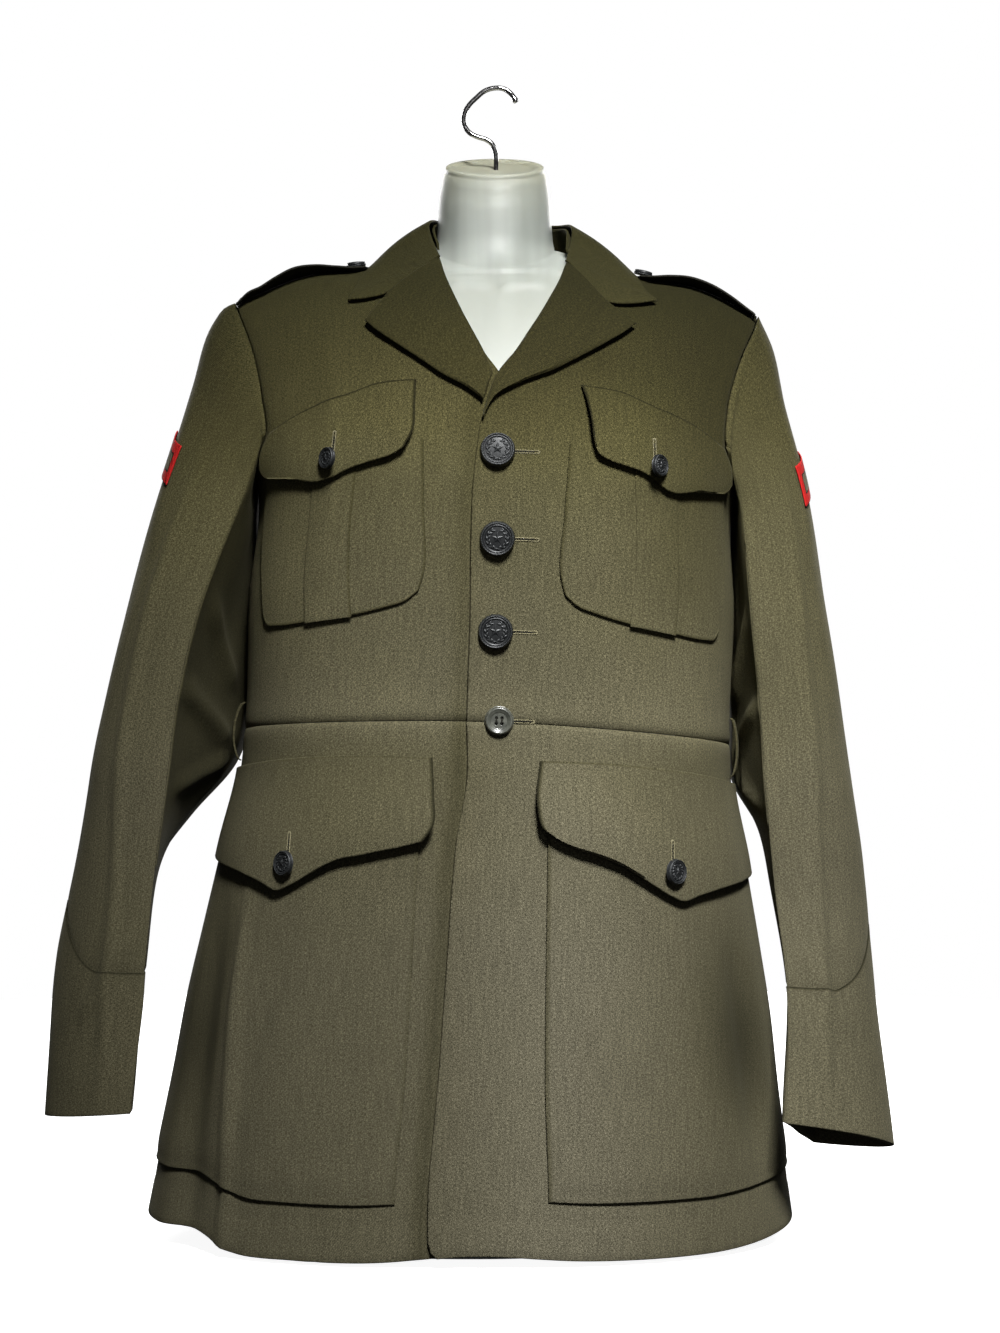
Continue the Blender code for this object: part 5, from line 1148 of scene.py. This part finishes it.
def hook(sides=20):
    """Bent wire: up from the neck cap, aside, and over a round bend to a flared tip."""
    way, share = lengths(HOOK), np.linspace(0, 1, 120)
    fine = smooth(share * way[-1], way, HOOK)
    (x, z), (dx, dz) = fine.T[..., None], unit(np.gradient(fine, axis=0)).T[..., None]
    radius = HOOK_WIRE * (1 + 0.25 * ease(share, 0.955, 0.03)) * np.where(share > 0.994, 0.8, 1.0)
    angle = 2 * pi * np.arange(sides) / sides
    aside, ahead = [radius[:, None] * part for part in (np.cos(angle), np.sin(angle))]
    points, faces = tube(np.stack([x + dz * aside, NECK_Y + ahead, z - dx * aside], -1))
    add_mesh("form_hook_wire", points, faces, WIRE, ("form_hook",))


# ---------------------------------------------------------------- materials
class Nodes:
    """Short hand for a material's node tree."""

    def __init__(self, name):
        self.made = bpy.data.materials.new(name)
        self.made.use_nodes = True
        self.tree = self.made.node_tree

    def add(self, kind, inputs=None, **settings):
        node = self.tree.nodes.new(kind)
        for key, value in settings.items():
            setattr(node, key, value)
        for key, value in (inputs or {}).items():
            self.set(node, key, value)
        return node

    def set(self, node, key, value):
        if isinstance(value, bpy.types.NodeSocket):
            self.tree.links.new(value, node.inputs[key])
        else:
            node.inputs[key].default_value = value

    def surface(self, **inputs):
        """Set inputs of the surface, with _ for a space in their names; the finished material."""
        for key, value in inputs.items():
            self.set(self.tree.nodes["Principled BSDF"], key.replace("_", " "), value)
        return self.made

    def weave(self):
        return self.add("ShaderNodeUVMap", uv_map="weave").outputs["UV"]

    def spot(self):
        return self.add("ShaderNodeNewGeometry").outputs["Position"]

    def math(self, operation, a, b=0.0):
        return self.add("ShaderNodeMath", {0: a, 1: b}, operation=operation).outputs[0]

    def times(self, a, b):
        return self.math("MULTIPLY", a, b)

    def noise(self, vector, scale, detail=1.0, stretch=None):
        if stretch:
            vector = self.add("ShaderNodeVectorMath", {0: vector, 1: stretch}, operation="MULTIPLY").outputs[0]
        return self.add("ShaderNodeTexNoise", {"Vector": vector, "Scale": scale, "Detail": detail,
                                               "Roughness": 0.5}).outputs["Fac"]

    def ramp(self, value, *stops):
        node = self.add("ShaderNodeValToRGB", {"Fac": value})
        elements = node.color_ramp.elements
        while len(elements) < len(stops):
            elements.new(0.5)
        for element, (at, colour) in zip(elements, stops):
            element.position = at
            element.color = (*colour, 1) if np.ndim(colour) else (colour, colour, colour, 1)
        return node.outputs["Color"]

    def mottle(self, value, low, high):
        """Between two looks by a noise value."""
        return self.ramp(value, (0.3, low), (0.7, high))

    def mix(self, share, a, b, blend="MIX"):
        node = self.add("ShaderNodeMix", data_type="RGBA", blend_type=blend)
        for index, value in ((0, share), (6, a), (7, b)):
            self.set(node, index, (*value, 1) if isinstance(value, tuple) else value)
        return node.outputs[2]

    def bump(self, height, distance):
        return self.add("ShaderNodeBump", {"Height": height, "Distance": distance, "Strength": 0.8}).outputs["Normal"]


def cloth_material():
    """Heathered wool gabardine: steep fine twill, mixed yarns and slow random changes of tone; painted shade makes it
    darker and yellower towards the top and where the shade attribute says.
    """
    m = Nodes("wool_gabardine")
    weave, spot = m.weave(), m.spot()
    height = m.add("ShaderNodeSeparateXYZ", {0: spot}).outputs["Z"]
    warp = m.noise(weave, 1.0, stretch=(1500, 480, 1))
    weft = m.noise(weave, 1.0, stretch=(560, 1700, 1))
    slub = m.noise(weave, 1.0, 2.0, (520, 34, 1))
    specks = m.noise(weave, 1.0, stretch=(1300, 1300, 1))
    broad = m.noise(spot, 5.5, 3.0)
    yarn = m.math("ADD", m.times(warp, 0.5), m.times(weft, 0.5))
    yarn = m.math("ADD", m.times(yarn, 0.75), m.times(specks, 0.25))
    # two tones of the yarn mix: the darker, yellower one is painted shade for the upper cloth, the lighter, greyer
    # one the lit tone lower down
    low = m.ramp(yarn, (0.37, (0.024, 0.022, 0.0085)), (0.50, (0.054, 0.049, 0.021)), (0.63, (0.112, 0.100, 0.046)))
    lit_grey = m.ramp(yarn, (0.37, (0.037, 0.034, 0.022)), (0.50, (0.080, 0.073, 0.050)), (0.63, (0.150, 0.138, 0.098)))
    level = m.math("ADD", height, m.times(m.math("SUBTRACT", broad, 0.5), 0.25))
    colour = m.mix(m.ramp(level, (0.22, 1.0), (0.66, 0.0)), low, lit_grey)
    colour = m.mix(1.0, colour, m.mottle(slub, 0.86, 1.14), "MULTIPLY")
    colour = m.mix(1.0, colour, m.mottle(broad, 0.90, 1.10), "MULTIPLY")
    # painted shade: darker towards the top
    colour = m.mix(1.0, colour, m.ramp(height, (0.60, (1, 1, 1)), (0.65, (0.87, 0.86, 0.80)),
                                       (0.70, (0.66, 0.65, 0.57)), (0.76, (0.45, 0.46, 0.38))), "MULTIPLY")
    # painted shade from the shade attribute, also a little yellower
    shade = m.add("ShaderNodeAttribute", attribute_name="shade").outputs["Fac"]
    colour = m.mix(shade, colour, (0.003, 0.003, 0.001))
    colour = m.mix(1.0, colour, m.ramp(shade, (0.0, (1, 1, 1)), (0.5, (1, 0.99, 0.84))), "MULTIPLY")
    twist = m.add("ShaderNodeMapping", {"Vector": weave, "Rotation": (0, 0, radians(27))})
    twill = m.add("ShaderNodeTexWave", {"Vector": twist.outputs[0], "Scale": 300.0, "Distortion": 0.6,
                                        "Detail": 1.0, "Detail Scale": 2.0}, bands_direction="X")
    relief = m.math("ADD", m.times(twill.outputs["Fac"], 0.6), m.times(yarn, 1.2))
    return m.surface(Base_Color=colour, Normal=m.bump(relief, 0.00025), Roughness=0.86, Specular_IOR_Level=0.12,
                     Specular_Tint=(1.0, 0.95, 0.72, 1), Sheen_Weight=0.03, Sheen_Roughness=0.5,
                     Sheen_Tint=(0.95, 0.90, 0.62, 1))


def badge_material():
    """Chevron: olive middle ribbed with slanted stitches inside a bright red border."""
    m = Nodes("badge_felt")
    weave = m.weave()
    parts = m.add("ShaderNodeSeparateXYZ", {0: weave})
    across, up = parts.outputs["X"], parts.outputs["Y"]
    rim = m.math("MAXIMUM", m.math("SUBTRACT", m.math("ABSOLUTE", up), 0.48),
                 m.times(m.math("SUBTRACT", m.math("ABSOLUTE", across), 0.88), 2.4))
    red_share = m.math("GREATER_THAN", rim, 0.0)
    stitch = m.math("SINE", m.math("ADD", m.times(up, 14.0), m.times(m.math("ABSOLUTE", across), 60.0)))
    felt = m.noise(weave, 1.0, 3.0, (60, 24, 1))
    red = m.mottle(felt, (0.30, 0.009, 0.009), (0.46, 0.018, 0.015))
    olive = m.mix(m.math("GREATER_THAN", stitch, 0.25), (0.055, 0.048, 0.028), (0.16, 0.135, 0.085))
    line = m.math("COMPARE", rim, -0.035)
    line.node.inputs[2].default_value = 0.035
    olive = m.mix(line, olive, (0.012, 0.010, 0.008))
    colour = m.mix(red_share, olive, red)
    edge_thread = m.math("SINE", m.times(across, 150.0))
    relief = m.math("ADD", m.times(stitch, 0.5), m.times(edge_thread, red_share))
    return m.surface(Base_Color=colour, Normal=m.bump(relief, 0.0003), Roughness=0.8, Specular_IOR_Level=0.1)


def metal_material():
    m = Nodes("button_bronze")
    spot = m.add("ShaderNodeNewGeometry")
    worn = m.noise(spot.outputs["Position"], 900.0, 3.0)
    edge = m.ramp(spot.outputs["Pointiness"], (0.47, 0.0), (0.56, 1.0))
    share = m.times(edge, m.ramp(worn, (0.3, 0.35), (0.6, 1.0)))
    return m.surface(Base_Color=m.mix(share, (0.004, 0.0045, 0.005), (0.040, 0.043, 0.044)), Metallic=0.35,
                     Specular_IOR_Level=0.35, Roughness=m.mottle(worn, 0.40, 0.52))


# Near-black finish: the strap's dark lining with painted shade under the strap, painted shade in the buttonhole
# slits, and dark thread.
def dark_cloth_and_shade_material():
    m = Nodes("dark_cloth_and_painted_shade")
    yarn = m.noise(m.weave(), 1.0, 2.0, (1500, 500, 1))
    return m.surface(Base_Color=m.mottle(yarn, (0.006, 0.006, 0.004), (0.016, 0.015, 0.010)), Roughness=0.8,
                     Specular_IOR_Level=0.2)


def plastic_material():
    """Milky moulded plastic with vertical streaks, partly painted streak highlights; beiger and duller at the top of
    the neck.
    """
    m = Nodes("milky_plastic")
    spot = m.spot()
    height = m.add("ShaderNodeSeparateXYZ", {0: spot}).outputs["Z"]
    # vertical streaks: partly the plastic's own cloudiness, partly painted streak highlights
    haze = m.noise(spot, 1.0, stretch=(75, 12, 4))
    streaks_and_highlights = m.mottle(haze, (0.205, 0.222, 0.200), (0.305, 0.325, 0.298))
    base = m.mix(m.ramp(height, (0.755, 0.15), (0.785, 1.0)), (0.265, 0.278, 0.245), streaks_and_highlights)
    top = m.ramp(height, (0.60, 0.0), (0.815, 0.05), (0.845, 0.35), (0.858, 0.8), (0.865, 1.0))
    return m.surface(Base_Color=m.mix(top, base, (0.30, 0.30, 0.225)), Roughness=m.mottle(haze, 0.48, 0.62),
                     Subsurface_Weight=0.5, Subsurface_Radius=(0.02, 0.022, 0.024), Subsurface_Scale=0.5,
                     Coat_Weight=0.04, Coat_Roughness=0.3)


def mottled(name, scale, low, high, rough, detail=3.0, **more):
    """Simple finish: its colour, and its roughness where two are given, change with a noise."""
    m = Nodes(name)
    haze = m.noise(m.spot(), scale, detail)
    return m.surface(Base_Color=m.mottle(haze, low, high),
                     Roughness=m.mottle(haze, *rough) if isinstance(rough, tuple) else rough, **more)


# ---------------------------------------------------------------- stage, light and camera
AMBIENT = 0.035
LIGHTS = [               # name, place, aim, size, power, spread
    ("key", (0.42, -2.00, 2.35), (0.20, 0, 0.14), 0.6, 13.5, 40),
    ("front", (0.6, -2.9, 0.5), (0.10, 0, 0.30), 1.4, 0.7, 80),
    ("back_left", (-1.3, 2.9, 1.5), (0, 0.1, 0.5), 1.2, 16, 90),
    ("back_right", (1.3, 2.9, 1.5), (0, 0.1, 0.5), 1.2, 16, 90)]


def add_object(name, data):
    made = bpy.data.objects.new(name, data)
    bpy.context.scene.collection.objects.link(made)
    return made


def stage():
    mesh = bpy.data.meshes.new("floor")
    angle = 2 * pi * np.arange(96) / 96
    mesh.from_pydata([(1.6 * cos(a), 1.6 * sin(a), 0.0) for a in angle], [], [tuple(range(96))])
    mesh.materials.append(mottled("pale_floor", 1.5, (0.88, 0.88, 0.88), (0.92, 0.92, 0.92), 0.9,
                                  Emission_Color=(1, 1, 1, 1), Emission_Strength=0.93))
    floor = add_object("floor", mesh)
    floor.visible_diffuse = floor.visible_glossy = False
    world = bpy.data.worlds.new("studio")
    world.use_nodes = True
    tree = world.node_tree
    seen_light, soft_light = tree.nodes["Background"], tree.nodes.new("ShaderNodeBackground")
    for background, strength in ((seen_light, 1.0), (soft_light, AMBIENT)):
        background.inputs["Color"].default_value = (1, 1, 1, 1)
        background.inputs["Strength"].default_value = strength
    mix, path = tree.nodes.new("ShaderNodeMixShader"), tree.nodes.new("ShaderNodeLightPath")
    tree.links.new(path.outputs["Is Camera Ray"], mix.inputs["Fac"])
    tree.links.new(soft_light.outputs[0], mix.inputs[1])
    tree.links.new(seen_light.outputs[0], mix.inputs[2])
    tree.links.new(mix.outputs[0], tree.nodes["World Output"].inputs["Surface"])
    bpy.context.scene.world = world
    bpy.context.scene.view_settings.view_transform = "Standard"
    for name, spot, aim, size, power, reach in LIGHTS:
        light = bpy.data.lights.new(name, "AREA")
        light.size, light.energy, light.spread = size, power, radians(reach)
        lamp = add_object(name, light)
        lamp.visible_camera = False
        lamp.location = spot
        lamp.rotation_euler = (Vector(aim) - Vector(spot)).to_track_quat("-Z", "Y").to_euler()


def camera():
    seen_by = bpy.data.cameras.new("camera")
    seen_by.lens, seen_by.sensor_width, seen_by.sensor_fit = 70.2, 36.0, "AUTO"
    seen_by.clip_start, seen_by.clip_end = 0.05, 50
    eye = add_object("camera", seen_by)
    eye.location = (0.0033, -2.12, 0.459)
    eye.rotation_euler = (pi / 2, 0, 0)
    bpy.context.scene.camera = eye


CLOTH, BADGE, METAL, DARK_CLOTH_AND_SHADE, PLASTIC = [made() for made in (
    cloth_material, badge_material, metal_material, dark_cloth_and_shade_material, plastic_material)]
HORN = mottled("moulded_button", 260.0, (0.032, 0.034, 0.028), (0.072, 0.074, 0.060), 0.32, Coat_Weight=0.35,
               Coat_Roughness=0.18)
THREAD = mottled("buttonhole_thread", 2600.0, (0.095, 0.084, 0.042), (0.21, 0.19, 0.105), 0.7, 2.0)
WIRE = mottled("plated_wire", 400.0, (0.42, 0.41, 0.40), (0.60, 0.60, 0.60), (0.10, 0.22), Metallic=1.0)

form()
hook()
collar()
for SIDE in (1, -1):
    for piece in (chest_front, skirt_front, back, lapel, sleeve, cuff, chevron, upper_pocket, upper_flap,
                  lower_pocket, lower_flap, epaulette, belt_loop):
        piece(SIDE)
front_fastening()
stage()
camera()
